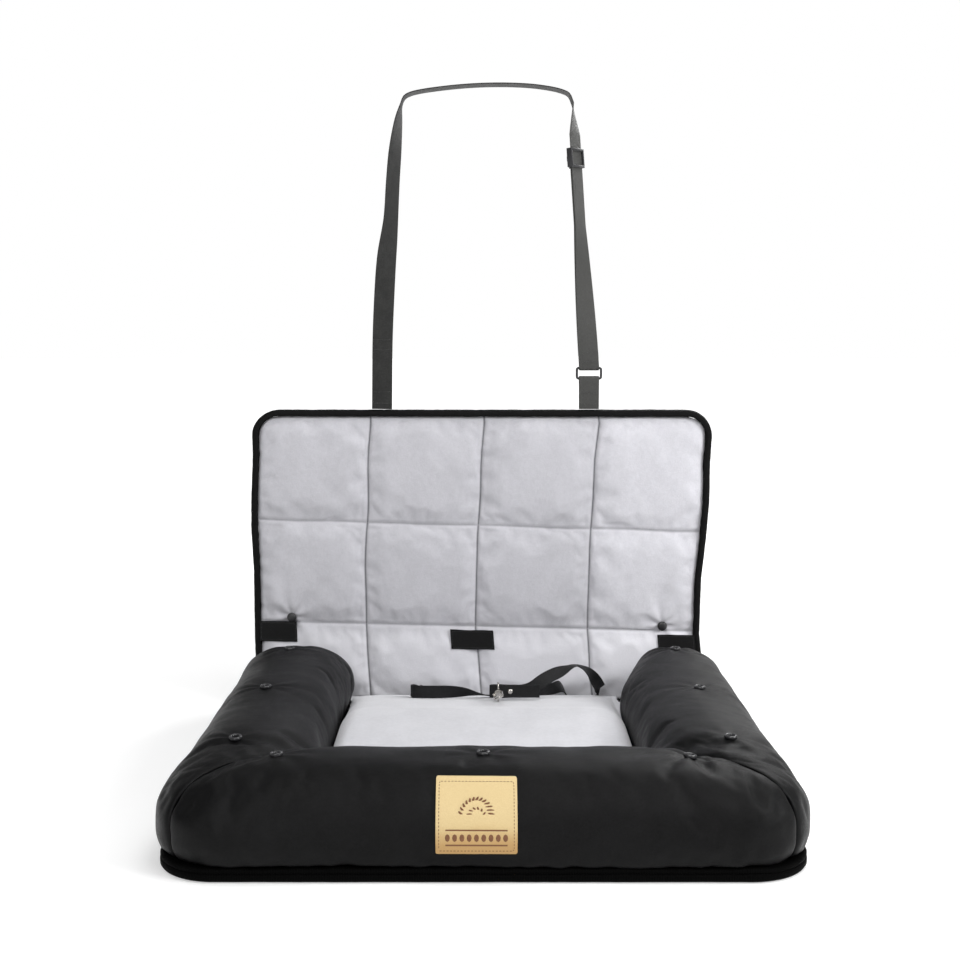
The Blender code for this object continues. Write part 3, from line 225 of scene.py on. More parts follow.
def add_lamp(name, place, aim, size, power):
    lamp = linked(name, bpy.data.lights.new(name, "AREA"))
    lamp.data.size = size
    lamp.data.energy = power
    lamp.location = place
    lamp.rotation_euler = (Vector(aim) - Vector(place)).to_track_quat("-Z", "Y").to_euler()


make_floor()
make_surround()
add_lamp("overhead_lamp", (0.3, -0.3, 2.1), (0, 0, 0.1), 1.0, 15)
add_lamp("right_lamp", (1.6, -0.9, 1.2), (0.1, 0, 0.15), 0.7, 23)
add_lamp("front_lamp", (-0.5, -2.4, 1.5), (0, 0, 0.3), 1.2, 27.5)
add_lamp("rear_lamp", (1.0, 1.5, 1.4), (0.1, 0, 0.1), 0.8, 16)


# Tether: one length of 15 mm polyester webbing, sewn down in the crevice behind the cushion. It lies loosely
# on the cushion, arches up at the right, and ends in a riveted fold round the snap hook's wire eye.

PANEL_FRONT_Y = 0.2688
CUSHION_HALF_X = 0.1530
CUSHION_HALF_Y = 0.19905
CUSHION_Y = 0.05225
CUSHION_EDGE_Z = 0.020
CUSHION_RISE = 0.034
UP = Vector((0, 0, 1))
ACROSS_X = Vector((1, 0, 0))
BACKWARD = Vector((0, 1, 0))
FORWARD = Vector((0, -1, 0))
WELD = 0.000001
TETHER_WIDTH = 0.015
TETHER_THICKNESS = 0.0012
EYE_BAR = Vector((0.018, 0.1263, 0.0))
ANCHOR = Vector((-0.0620, 0.2593, 0.0195))
RIVET_X = 0.032


def cushion_crown(x, y):
    """The height of the cushion's top."""
    across = min(1.0, abs(x) / CUSHION_HALF_X)
    along = min(1.0, abs(y - CUSHION_Y) / CUSHION_HALF_Y)
    return CUSHION_EDGE_Z + CUSHION_RISE * (1 - along**1.6) * math.sqrt(1 - across**6)


EYE_BAR.z = cushion_crown(EYE_BAR.x, EYE_BAR.y) + 0.0116


def slope(before, at, after, back, ahead):
    """A curve's slope at a knot, from its neighbours and the spans to them."""
    if not back or not ahead:
        return (after - before) / (back + ahead)
    return (at - before) / back + (after - at) / ahead - (after - before) / (back + ahead)


def smooth_route(knots, longest):
    """A smooth line through (place, width direction) knots, which doesn't overshoot where they lie close."""
    spans = [math.sqrt((b[0] - a[0]).length) for a, b in zip(knots, knots[1:])]
    spans = [0.0, *spans, 0.0]
    route = []
    for k in range(len(knots) - 1):
        ends = [knots[min(max(k + d, 0), len(knots) - 1)] for d in (-1, 0, 1, 2)]
        back, span, ahead = spans[k : k + 3]
        steps = max(1, math.ceil(span**2 / longest))
        for t in [i / steps for i in range(steps)]:
            pair = []
            for a, b, c, d in zip(*ends):
                leave = slope(a, b, c, back, span) * span
                arrive = slope(b, c, d, span, ahead) * span
                point = b * (2 * t**3 - 3 * t**2 + 1) + c * (3 * t**2 - 2 * t**3)
                pair.append(point + leave * (t**3 - 2 * t**2 + t) + arrive * (t**3 - t**2))
            route.append(pair)
    return route + [list(knots[-1])]


def framed(route):
    """(place, across, out) at each point of a route of (place, width direction) pairs."""
    legs = [(b[0] - a[0]).normalized() for a, b in zip(route, route[1:])]
    frames = []
    for (at, across), before, after in zip(route, [legs[0], *legs], [*legs, legs[-1]]):
        along = (before + after).normalized()
        across = (across - along * across.dot(along)).normalized()
        frames.append((at, across, across.cross(along)))
    return frames


def lengths(points):
    total = [0.0]
    for a, b in zip(points, points[1:]):
        total.append(total[-1] + (b - a).length)
    return total


def cloth_grid(columns, rows):
    """A grid of faces whose points are numbered row by row, and its UV layer."""
    bm = bmesh.new()
    uv = bm.loops.layers.uv.new("metres")
    bmesh.ops.create_grid(bm, x_segments=columns, y_segments=rows, size=0.5, calc_uvs=True)
    bm.verts.index_update()
    return bm, uv


def rolled(place, columns, rows, round_it, down_it):
    """A grid rolled into a tube by place(row, column), with a UV map of metres round it and down it."""
    bm, uv = cloth_grid(columns, rows)
    for face in bm.faces:
        for loop in face.loops:
            row, column = divmod(loop.vert.index, columns + 1)
            loop[uv].uv = (round_it[column], down_it[row])
    for vert in bm.verts:
        vert.co = place(*divmod(vert.index, columns + 1))
    return bm


def swept(frames, section, looped=False):
    """Carries a closed section of (across, out) points along frames."""

    def place(row, column):
        at, across, out = frames[row % len(frames)]
        a, b = section[column % len(section)]
        return at + across * a + out * b

    round_it = lengths([Vector((*p, 0)) for p in [*section, section[0]]])
    down_it = lengths([f[0] for f in [*frames, frames[0]]])
    bm = rolled(place, len(section), len(frames) if looped else len(frames) - 1, round_it, down_it)
    bmesh.ops.remove_doubles(bm, verts=bm.verts, dist=WELD)
    rim = [edge for edge in bm.edges if edge.is_boundary]
    if rim:
        bmesh.ops.holes_fill(bm, edges=rim, sides=0)
    bmesh.ops.recalc_face_normals(bm, faces=bm.faces)
    return bm


def webbing_section(width, thickness):
    """A woven band's section: two ribbed faces, the middle a little thicker, and rounded selvedges."""
    half, deep = width / 2, thickness / 2
    face = [(half - deep * 0.5, deep * 0.86), (half * 0.72, deep), (half * 0.24, deep * 0.97)]
    face += [(-a, b) for a, b in face[::-1]]
    edge = [(-half, deep * 0.35), (-half, -deep * 0.35)]
    return face + edge + [(-a, -b) for a, b in face] + [(-a, -b) for a, b in edge]


def add_piece(name, bm, finish, body, slot, replaced=(), sharp=42):
    """Makes the piece's object at the origin, and gives it its finish and its body. It hides the CAD parts it
    replaces; its slot is not used.
    """
    mesh = bpy.data.meshes.new(name)
    bm.to_mesh(mesh)
    bm.free()
    mesh.materials.append(finish.material)
    mesh.shade_smooth()
    mesh.set_sharp_from_angle(angle=math.radians(sharp))
    piece = linked(name, mesh)
    if body:
        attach(piece, body)
    if replaced:
        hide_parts(*replaced)
    return piece


def webbing_finish(name, color, rib, painted_light_on_right=0.0):
    """Filament polyester webbing: fine ribs across, lengthwise yarns, random worn patches, and high spots painted
    paler as a painted highlight.

    The rib is its width in metres. The last argument paints the webbing paler at the right, in the strap's adjustable
    leg, as painted light where that leg faces the right lamp."""
    yarn, lit_from_x, lit_to_x = 0.0011, 0.09, 0.11
    finish = Finish(name, color, 0.5, Specular_IOR_Level=0.25)
    place = finish.weave_place()
    across, along = finish.along(place, 0), finish.along(place, 1)
    ribs = (along * (2 * math.pi / rib) + (across * (2 * math.pi / (2 * yarn))).sine() * 0.9).sine()
    yarns = (across * (2 * math.pi / yarn)).sine()
    worn = finish.noise(finish.place(), 0.014)
    height = ribs * 0.35 + yarns * 0.15 + 0.5
    fleck = finish.noise(finish.place(), 0.0016, 2.0, 0.7)
    # Paler with the random wear and flecks, and on the rib and yarn tops as a painted highlight.
    share = finish.ranged(worn * 0.5 + height * 0.3 + fleck * 0.5, 0.45, 0.90)
    tone = finish.mixed(share, [c * 0.7 for c in color], [c * 2.6 for c in color])
    # painted light: paler at the right
    if painted_light_on_right:
        aside = finish.ranged(finish.along(finish.place(), 0), lit_from_x, lit_to_x)
        tone = finish.mixed(aside * painted_light_on_right * (fleck * 0.8 + 0.5), tone, [c * 7 for c in color])
    finish.set("Base Color", tone)
    finish.set("Roughness", 0.42 + worn * 0.22)
    finish.raised(height, 0.00022, 0.8)
    return finish


def tether_route():
    """From the fold round the eye, up in an arch at the right, down behind the cushion, then over it to the anchor."""
    x, y = EYE_BAR.x, EYE_BAR.y
    fold, loop = 0.00075, 0.0026
    ahead = [(0.048, fold), (0.030, fold), (0.012, fold), (0.004, loop - 0.0002), (-0.001, loop)]
    ahead += [(-0.006, loop - 0.0004), (-0.0085, loop / 2)]
    points = [(x + along, y - off) for along, off in ahead] + [(x - 0.0095, y)]
    points += [(x + along, y + off) for along, off in ahead[:1:-1]]
    points += [(x + 0.019, y + fold), (x + 0.026, y + fold)]
    knots = [(Vector((*point, EYE_BAR.z)), UP) for point in points]
    hanging = (
        (0.0550, 0.1358, 0.0597, (0, 0.15, 0.99)),
        (0.0725, 0.1213, 0.0672, (0, 0.50, 0.87)),
        (0.0890, 0.1080, 0.0720, (0, 0.75, 0.66)),
        (0.1090, 0.0915, 0.0760, (0.05, 0.98, -0.15)),
        (0.1265, 0.0738, 0.0645, (0.40, 0.90, -0.15)),
        (0.1385, 0.0558, 0.0490, (0.65, 0.75, -0.05)),
        (0.1450, 0.0368, 0.0355, (0.60, 0.80, 0)),
        (0.1465, 0.0200, 0.0285, (0.30, 0.95, 0)),
        (0.1450, 0.0093, 0.0170, (0.05, 1, 0)),
        (0.1370, 0.0090, 0.0120, (0, 1, 0)),
        (0.1240, 0.0090, 0.0114, (0, 1, 0)),
        (0.1130, 0.0090, 0.0120, (0, 1, 0)),
        (0.1065, 0.0093, 0.0165, (0, 1, 0)),
        (0.1020, 0.0180, 0.0278, (-0.15, 0.90, 0.35)),
        (0.0960, 0.0320, 0.0348, (-0.20, 0.45, 0.87)),
    )
    knots += [(Vector((x, PANEL_FRONT_Y - ahead, z)), Vector(across)) for x, ahead, z, across in hanging]
    forward = (
        (0.0850, 0.0480, 0.0),
        (0.0720, 0.0665, 0.0),
        (0.0520, 0.0860, 0.33),
        (0.0300, 0.0990, 0.85),
        (0.0080, 0.1080, 1.0),
        (-0.0070, 0.1130, 0.8),
        (-0.0210, 0.1165, 0.45),
        (-0.0370, 0.1195, 0.12),
        (-0.0550, 0.1205, 0.0),
        (-0.0740, 0.1175, 0.0),
        (-0.0840, 0.1095, 0.0),
    )
    back = (
        (-0.0840, 0.0985, 0.0),
        (-0.0825, 0.0860, 0.38),
        (-0.0795, 0.0700, 0.83),
        (-0.0780, 0.0520, 0.96),
        (-0.0785, 0.0350, 0.90),
        (-0.0810, 0.0200, 0.77),
    )
    flattest, on_edge, lying_flat = math.radians(78), 0.0084, 0.0013
    for places, lean_along in ((forward, FORWARD), (back, ACROSS_X)):
        for x, ahead, lean in places:
            y = PANEL_FRONT_Y - ahead
            angle = lean * flattest
            lift = on_edge * math.cos(angle) + lying_flat * math.sin(angle)
            across = lean_along * math.sin(angle) + UP * math.cos(angle)
            knots.append((Vector((x, y, cushion_crown(x, y) + lift)), across))
    knots.append((Vector((-0.0785, PANEL_FRONT_Y - 0.0105, 0.0235)), UP))
    knots += [(ANCHOR - ACROSS_X * off, UP) for off in (0.008, 0.0035, 0.0003)]
    return smooth_route(knots, 0.003)


TETHER_WEBBING = webbing_finish("black_tether_webbing", (0.0055, 0.0055, 0.006), 0.0009)


def make_tether():
    """The free run is one cord, and the riveted fold is a piece on it."""
    frames = framed(tether_route())
    fold_end = min(range(len(frames) // 2), key=lambda k: frames[k][0].x)
    split = next(k for k in range(fold_end, len(frames)) if frames[k][0].x > RIVET_X - 0.001)
    section = webbing_section(TETHER_WIDTH, TETHER_THICKNESS)
    run = add_piece(
        "tether_run", swept(frames[split:], section), TETHER_WEBBING, "bed", "black_webbing", ["tether_webbing"]
    )
    fold = add_piece("tether_fold", swept(frames[: split + 1], section), TETHER_WEBBING, "bed", "black_webbing")
    return run, fold, [f[0] for f in frames[split:]][::-1]


tether_run, tether_fold, tether_line = make_tether()


# Snap hook: a nickel-plated swivel hook on a wire eye, with a sprung gate on a pin. The rivet's domed head
# holds the fold shut. The hook's own solids are shown, with a polished metal finish.


def metal_finish():
    finish = Finish("nickel_steel", (0.62, 0.60, 0.56), 0.2, Metallic=1.0)
    smudge = finish.noise(finish.place(), 0.004, 4.0)
    grain = finish.noise(finish.place(), 0.0006)
    finish.set("Base Color", finish.mixed(smudge, (0.42, 0.40, 0.37), (0.78, 0.76, 0.72)))
    finish.set("Roughness", smudge * 0.25 + 0.08)
    finish.raised(grain, 0.00004)
    return finish


STEEL = metal_finish()


def lathed(profile, steps, matrix=None):
    """A closed profile of (radius, height) points spun round Z."""
    bm = bmesh.new()
    verts = [bm.verts.new((radius, 0, height)) for radius, height in profile]
    edges = [bm.edges.new(pair) for pair in zip(verts, verts[1:] + verts[:1])]
    bmesh.ops.spin(
        bm, geom=verts + edges, axis=UP, cent=(0, 0, 0), steps=steps, angle=2 * math.pi, use_merge=True
    )
    bmesh.ops.remove_doubles(bm, verts=bm.verts, dist=WELD)
    bmesh.ops.dissolve_degenerate(bm, edges=bm.edges, dist=WELD)
    bmesh.ops.recalc_face_normals(bm, faces=bm.faces)
    if matrix:
        bmesh.ops.transform(bm, matrix=matrix, verts=bm.verts)
    return bm


def make_rivet():
    """Two domed heads and a shank, as one turned piece along Y."""
    half, head, dome, shank = 0.0017, 0.0030, 0.0012, 0.0011
    upper = [(0, half + dome)]
    upper += [(head * math.sin(a), half + dome * math.cos(a)) for a in (0.35, 0.7, 1.05, 1.35)]
    upper += [(head, half), (shank, half)]
    profile = upper + [(radius, -height) for radius, height in upper[::-1]]
    turn = Matrix.Translation((RIVET_X, EYE_BAR.y, EYE_BAR.z)) @ Matrix.Rotation(math.pi / 2, 4, "X")
    return add_piece("rivet", lathed(profile, 28, turn), STEEL, "bed", "steel", ["tether_rivet"], 60)


rivet = make_rivet()
hook_pieces = [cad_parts[name] for name in ("hook_eye", "snap_hook", "gate_pin", "hook_gate")]
for piece in hook_pieces:
    piece.data.materials.clear()
    piece.data.materials.append(STEEL.material)
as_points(tether_line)


# Anchor: the tether's end is folded into a tab of the same webbing, in the crevice behind the cushion. The tab
# is sewn flat to the mat, and its edges are rounded by the fold.


def cloth_finish(name, color, rough, thread=0.0007, gloss=0.4, tone=0.35):
    """Plain woven polyester: a fine over-and-under weave, drifting tone and a soft satin gloss."""
    finish = Finish(name, color, rough, Specular_IOR_Level=gloss)
    place, spread, dark, light = finish.weave_place(), 0.24, 1 - tone, 1 + tone
    turns = 2 * math.pi / thread
    warp, weft = (finish.along(place, 0) * turns).sine(), (finish.along(place, 1) * turns).sine()
    weave = warp * weft * 0.5 + 0.5
    drift = finish.noise(finish.place(), 0.055, 4.0, 0.6)
    slub = finish.noise(finish.place(), 0.0022, 2.0)
    fleck = finish.noise(finish.place(), 0.0017, 2.0, 0.7)
    tone_share = finish.ranged(drift * 0.5 + slub * 0.25 + fleck * 0.25, 0.34, 0.68)
    finish.set("Base Color", finish.mixed(tone_share, [c * dark for c in color], [c * light for c in color]))
    finish.set("Roughness", drift * 0.14 + fleck * 0.34 + (rough - spread))
    finish.raised(weave * 0.3 + slub * 0.3 + fleck * 0.4, 0.00030, 0.9)
    return finish


def softened(bm, edges, offset):
    """Rounds edges off."""
    bmesh.ops.bevel(bm, geom=edges, offset=offset, segments=3, profile=0.5, affect="EDGES", material=-1)


def make_anchor():
    low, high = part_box("tether_anchor")
    bm = bmesh.new()
    bm.loops.layers.uv.new("metres")
    bmesh.ops.create_cube(bm, size=1, calc_uvs=True)
    bmesh.ops.scale(bm, vec=high - low, verts=bm.verts)
    softened(bm, bm.edges, 0.0006)
    bmesh.ops.translate(bm, vec=(low + high) / 2, verts=bm.verts)
    add_piece("tether_tab", bm, TETHER_WEBBING, "bed", "black_webbing", ["tether_anchor"])


make_anchor()


# Base: a thin mat with a dotted anti-slip underside. A ribbed tape binds its front and side edges together with
# the bolsters' covers. The tape is drawn in by its stitches, so its top edge waves a little.

BASE_HALF = 0.2875
BASE_FRONT_Y = -0.2813
BASE_REAR_Y = 0.2685
BASE_RADIUS = 0.055
BAND_HEIGHT = 0.0128
BAND_WIDTH = 0.008
MAT_INSET = 0.0083


def outline_of_base(inset, step):
    """Points of the base's outline, from the rear right round the front to the rear left."""
    half, front, radius = BASE_HALF - inset, BASE_FRONT_Y + inset, BASE_RADIUS - inset
    side_length, front_length, quarter = 0.5, 0.23, math.pi / 2
    corner = Vector((half - radius, front + radius, 0))
    rear_to_corner, across = corner.y - BASE_REAR_Y, step / front_length
    sides = [Vector((half, BASE_REAR_Y + rear_to_corner * k, 0)) for k in np.arange(0, 1, step / side_length)]
    turns = np.linspace(0, quarter, math.ceil(radius * math.pi / 2 / step))
    bend = [corner + Vector((math.cos(a), -math.sin(a), 0)) * radius for a in turns]
    front_run = [Vector((corner.x * (1 - k), front, 0)) for k in np.arange(across, 1, across)]
    right = sides + bend + front_run
    return right + [Vector((0, front, 0))] + [Vector((-p.x, p.y, 0)) for p in right[::-1]]


def tape_finish(name, color, gloss=0.08):
    """Grosgrain tape: close ribs across the tape, with painted shine on their tops and painted shade between them."""
    rib = 0.0014
    finish = Finish(name, color, 0.65, Specular_IOR_Level=gloss)
    place = finish.weave_place()
    ribs = (finish.along(place, 1) * (2 * math.pi / rib)).sine()
    slub = finish.noise(finish.place(), 0.003, 3.0)
    height = ribs * 0.4 + slub * 0.3 + 0.35
    painted_shine_on_top = finish.ranged(height, 0.25, 0.95)
    # painted shine on the rib tops and painted shade in the grooves
    finish.set("Base Color", finish.mixed(painted_shine_on_top, [c * 0.45 for c in color], [c * 1.9 for c in color]))
    finish.set("Roughness", slub * 0.3 + 0.45)
    finish.raised(height, 0.0003, 0.9)
    return finish


BINDING_TAPE = tape_finish("black_binding_tape", (0.0045, 0.0045, 0.0045))
# The base's tape is the binding tape painted darker, as painted shade under the bolsters' overhang, with less gloss.
BASE_TAPE_PAINTED_SHADE = tape_finish("black_base_tape_painted_shade", (0.0016, 0.0016, 0.0016), 0.02)
MAT_CLOTH = cloth_finish("black_mat_cloth", (0.005, 0.005, 0.0053), 0.6, gloss=0.12)


def outward_frames(points):
    """Frames along a level outline whose first direction is up and second is outward."""
    frames = []
    for before, at, after in zip([points[0], *points], points, [*points[1:], points[-1]]):
        along = (after - before).normalized()
        frames.append((at, UP, Vector((-along.y, along.x, 0)).normalized()))
    return frames


def make_band():
    """A rounded roll with a stitched groove, under the covers' lower seam."""
    height, deep = BAND_HEIGHT, BAND_WIDTH
    section = [(0.0004, -deep * 0.5), (0.0, -deep * 0.1), (0.0008, 0.0008), (0.0026, 0.0020), (0.0052, 0.0021)]
    section += [(0.0070, 0.0014), (0.0077, 0.0004), (0.0084, 0.0013), (0.0102, 0.0018), (0.0117, 0.0011)]
    section += [(0.0125, -0.0004), (height, -deep * 0.4), (height - 0.001, -deep), (0.002, -deep)]
    frames = outward_frames(outline_of_base(0, 0.0035))
    outward = 1 if frames[0][2].x > 0 else -1
    waved = []
    for at, up, out in frames:
        wave = 0.0009 * noise.noise(at / 0.035) + 0.0004 * noise.noise(at / 0.009)
        waved.append((at + out * outward * wave * 0.6, up * (1 + wave / height * 1.4), out * outward))
    bm = swept(waved, section)
    add_piece("base_edge_tape", bm, BASE_TAPE_PAINTED_SHADE, "bed", "black_binding", ["base_binding"], 50)


def lay_flat(bm, uv, first, second):
    """Takes the cloth's UV map from where it lies along two of the axes."""
    for face in bm.faces:
        for loop in face.loops:
            loop[uv].uv = (loop.vert.co[first], loop.vert.co[second])


def filled_outline(low, high, edge):
    """A flat pad in the base's outline, inside the band, with rounded edges."""
    bm = bmesh.new()
    verts = [bm.verts.new(p + UP * low) for p in outline_of_base(MAT_INSET, 0.008)]
    face = bm.faces.new(verts)
    grown = bmesh.ops.extrude_face_region(bm, geom=[face])["geom"]
    top = [item for item in grown if isinstance(item, bmesh.types.BMVert)]
    bmesh.ops.translate(bm, vec=(0, 0, high - low), verts=top)
    bmesh.ops.recalc_face_normals(bm, faces=bm.faces)
    softened(bm, [e for e in bm.edges if abs(e.calc_face_angle(0)) > 1], edge)
    lay_flat(bm, bm.loops.layers.uv.new("metres"), 0, 1)
    return bm


def make_mat():
    mat = filled_outline(0.0015, 0.010, 0.0015)
    add_piece("mat_pad", mat, MAT_CLOTH, "bed", "black_fabric", ["base_mat"])


def make_underlay():
    """A knitted underside with rows of pressed rubber dots, which grip the car's seat."""
    finish = Finish("black_grip_rubber", (0.022, 0.022, 0.023), 0.7)
    knit = finish.noise(finish.place(), 0.0012, 2.0)
    finish.set("Base Color", finish.mixed(knit, (0.012, 0.012, 0.013), (0.035, 0.035, 0.036)))
    finish.set("Roughness", knit * 0.25 + 0.55)
    finish.raised(knit, 0.0002)
    underside, pitch, dot, flatness = 0.0004, 0.015, 0.0025, 0.16
    widest, corner_x, corner_y, corner_radius = 0.272, 0.225, -0.219, 0.040
    bm = filled_outline(underside, 0.0012, 0.0002)
    for row in range(36):
        for column in range(37):
            x = (column - 18) * pitch + (row % 2) * (pitch / 2)
            y = BASE_FRONT_Y + 0.017 + row * pitch
            corner = math.hypot(max(0, abs(x) - corner_x), max(0, corner_y - y))
            if abs(x) > widest or corner > corner_radius:
                continue
            at = Matrix.Translation((x, y, underside)) @ Matrix.Diagonal((1, 1, flatness, 1))
            bmesh.ops.create_icosphere(bm, subdivisions=1, radius=dot, matrix=at)
    add_piece("grip_underlay", bm, finish, "bed", "black_rubber", ["non_slip_underlay"])


def thickened(bm, thickness):
    """Gives a sheet of faces its thickness in metres."""
    bmesh.ops.solidify(bm, geom=bm.faces, thickness=thickness)
    bmesh.ops.recalc_face_normals(bm, faces=bm.faces)


def make_hinge_strip():
    """A strip of cloth under the rear edge, to which the back panel's foot is sewn."""
    width, depth, middle_y, level = 0.548, 0.0206, 0.2729, 0.0007
    bm, uv = cloth_grid(90, 5)
    for vert in bm.verts:
        x, y = vert.co.x * width, middle_y + vert.co.y * depth
        vert.co = Vector((x, y, level + 0.0002 * noise.noise(Vector((x, y, 0)) / 0.02)))
    lay_flat(bm, uv, 0, 1)
    thickened(bm, 0.0004)
    add_piece("hinge_strip", bm, MAT_CLOTH, "bed", "black_fabric")


make_band()
make_mat()
make_underlay()
make_hinge_strip()


# Bolsters: three covers of black satin-faced polyester stuffed with fibre, which meet in mitre seams at the front
# corners. Each is filled here as cloth under a little pressure. Eyelets, seams and the foot then draw in folds.

SPAN_HALF = 0.2955
FRONT_Y = -0.2893
REAR_Y = 0.2663
BOLSTER_WIDTH = 0.140
CREST_IN = 0.070
BULGE_Z = 0.045
CREST_Z = 0.092
FOOT_Z = 0.0131
INNER_FOOT_Z = 0.0103
EXPONENT = 2.25
OUTER_FOOT_EXPONENT = 3.3
OUTER_RADIUS = 0.077
EYELETS = {f"front_{place}": (x, -0.2193) for place, x in (("left", -0.186), ("middle", 0.0), ("right", 0.186))}
for side, x in (("left", -0.232), ("right", 0.232)):
    EYELETS.update({f"{side}_{place}": (x, y) for place, y in (("fore", -0.1683), ("mid", 0.0102), ("rear", 0.1887))})
FOLDS_AT = {"front_right": 1.7, "left_fore": 0.8, "right_rear": 1.1}
SEAM_WELD = 0.00002


def powered(value):
    """A sine or cosine that draws a fuller oval than a circle's."""
    return math.copysign(abs(value) ** (2 / EXPONENT), value)


def around(u, inward):
    """A plan point of the right half: u is 0 to 1 on the side, 1 to 2 round the corner, 2 to 3 along the front."""
    radius = max(OUTER_RADIUS - inward, 0.002)
    centre_x, centre_y = SPAN_HALF - inward - radius, FRONT_Y + inward + radius
    if u <= 1:
        return centre_x + radius, REAR_Y + (centre_y - REAR_Y) * u
    if u <= 2:
        turn = (u - 1) * math.pi / 2
        return centre_x + radius * math.cos(turn), centre_y - radius * math.sin(turn)
    return centre_x * (3 - u), centre_y - radius


def swell(u):
    """How high and how wide the bolster stands at u. It sinks at the mitre seam and towards its rear end."""
    x, y = around(u, CREST_IN)
    from_mitre = math.hypot(x - (SPAN_HALF - CREST_IN), y - (FRONT_Y + CREST_IN))
    seam_dip, seam_reach, end_length, end_drop, end_narrowing = 0.004, 0.020, 0.073, 0.62, 0.12
    dip = seam_dip / (CREST_Z - FOOT_Z) * math.exp(-((from_mitre / seam_reach) ** 2))
    end = max(0.0, (y - REAR_Y + end_length) / end_length) if u <= 1 else 0.0
    return 1 - dip - end_drop * end**2, 1 - end_narrowing * end**2


def slimmed(u, side):
    """The share of its width that the right bolster's inner half keeps towards its rear end."""
    taper = 0.176
    if side < 0 or u > 1:
        return 1.0
    return 1 - 0.60 * max(0.0, (around(u, CREST_IN)[1] - REAR_Y + taper) / taper) ** 1.2


def section_at(u, side, inset, share):
    """A ring of points round the bolster: over the crest, back inside and under. Share below 1 closes its end."""
    over, under, core_z = 52, 12, 0.035
    half, rise, drop = CREST_IN - inset, CREST_Z - BULGE_Z - inset, 0.050 - inset
    start = math.asin(-(((BULGE_Z - FOOT_Z) / drop) ** (EXPONENT / 2)))
    stop = math.pi + math.asin(((BULGE_Z - INNER_FOOT_Z) / drop) ** (EXPONENT / 2))
    points = []
    for k in range(over + 1):
        angle = start + (stop - start) * k / over
        height = math.sin(angle)
        z = BULGE_Z + powered(height) * (rise if height > 0 else drop)
        across = powered(math.cos(angle))
        if height < 0 < across:
            across = (1 - (abs(z - BULGE_Z) / drop) ** OUTER_FOOT_EXPONENT) ** (1 / OUTER_FOOT_EXPONENT)
        points.append((CREST_IN - half * across, z))
    (d0, z0), (d1, z1) = points[-1], points[0]
    points += [(d0 + (d1 - d0) * k / under, z0 + (z1 - z0) * k / under) for k in range(1, under)]
    high, wide = swell(u)
    ring = []
    for inward, z in points:
        kept = wide * slimmed(u, side) if inward > CREST_IN else wide
        inward = CREST_IN + (inward - CREST_IN) * kept * share
        if z > FOOT_Z:
            z = FOOT_Z + (z - FOOT_Z) * high
        z = core_z + (z - core_z) * share
        x, y = around(u, inward)
        ring.append(Vector((side * x, y, z)))
    return ring


def ringed(rings, down_it):
    """A tube through rings of equally many points, closed where an end ring has shrunk to a point."""
    count, middle = len(rings[0]), rings[len(rings) // 2]
    round_it = lengths([*middle, middle[0]])
    bm = rolled(lambda row, column: rings[row][column % count], count, len(rings) - 1, round_it, down_it)
    bmesh.ops.remove_doubles(bm, verts=bm.verts, dist=SEAM_WELD)
    bmesh.ops.recalc_face_normals(bm, faces=bm.faces)
    return bm


def filled_with_air(piece, is_held, pressure, spare, most):
    """Swells a sewn cover as cloth. Held points stay, spare cloth wrinkles, and no point moves further than most."""
    steps, mesh = 20, piece.data
    held = piece.vertex_groups.new(name="held")
    held.add([v.index for v in mesh.vertices if is_held(v.co)], 1.0, "REPLACE")
    cloth = piece.modifiers.new("cloth", "CLOTH")
    cloth.settings.vertex_group_mass = "held"
    cloth.settings.use_pressure = True
    cloth.settings.uniform_pressure_force = pressure
    cloth.settings.shrink_min = -spare
    cloth.settings.effector_weights.gravity = 0
    cloth.settings.mass = 0.25
    cloth.settings.bending_stiffness = 0.3
    cloth.collision_settings.use_collision = False
    cloth.point_cache.frame_start, cloth.point_cache.frame_end = 1, steps
    rest = np.zeros(len(mesh.vertices) * 3, np.float32)
    mesh.vertices.foreach_get("co", rest)
    for number in range(1, steps + 1):
        bpy.context.scene.frame_set(number)
    filled = np.zeros_like(rest)
    piece.evaluated_get(bpy.context.evaluated_depsgraph_get()).data.vertices.foreach_get("co", filled)
    step = (filled - rest).reshape(-1, 3)
    far = np.linalg.norm(step, axis=1, keepdims=True)
    step *= np.minimum(1.0, most / np.maximum(far, 1e-9))
    piece.modifiers.remove(cloth)
    piece.vertex_groups.clear()
    mesh.vertices.foreach_set("co", rest + step.ravel().astype(np.float32))
    mesh.update()
    bpy.context.scene.frame_set(1)


def subdivided(piece):
    """Divides the piece's faces once, for the folds that follow."""
    divide = piece.modifiers.new("subdivision", "SUBSURF")
    divide.levels = divide.render_levels = 1
    graph = bpy.context.evaluated_depsgraph_get()
    mesh = bpy.data.meshes.new_from_object(piece.evaluated_get(graph))
    piece.modifiers.clear()
    piece.data = mesh


def folded(piece, depth):
    """Moves each point of the piece along its normal by depth(point)."""
    mesh = piece.data
    moved = [v.co + v.normal * depth(v.co) for v in mesh.vertices]
    for vert, place in zip(mesh.vertices, moved):
        vert.co = place
    mesh.update()
    mesh.shade_smooth()


def wave(point, across, along=None, up=None, seed=0.0):
    """Smooth folds from -1 to 1 whose sizes along X, Y and Z are given in metres."""
    along, up = along or across, up or across
    return noise.noise(Vector((point.x / across + seed, point.y / along - seed, point.z / up + seed)))


def from_mitre_seam(point):
    """The distance from a point to the nearer mitre seam's upright plane."""
    return abs((SPAN_HALF - abs(point.x)) - (point.y - FRONT_Y)) / math.sqrt(2)


def bump(distance, reach):
    """1 at no distance, and fading to nothing over about twice the reach."""
    return math.exp(-((distance / reach) ** 2))


def rays_from(away, turn, size):
    """Folds that run out from a point: none at the point, most at that size from it."""
    return turn * (away / size) * math.exp(1 - away / size)


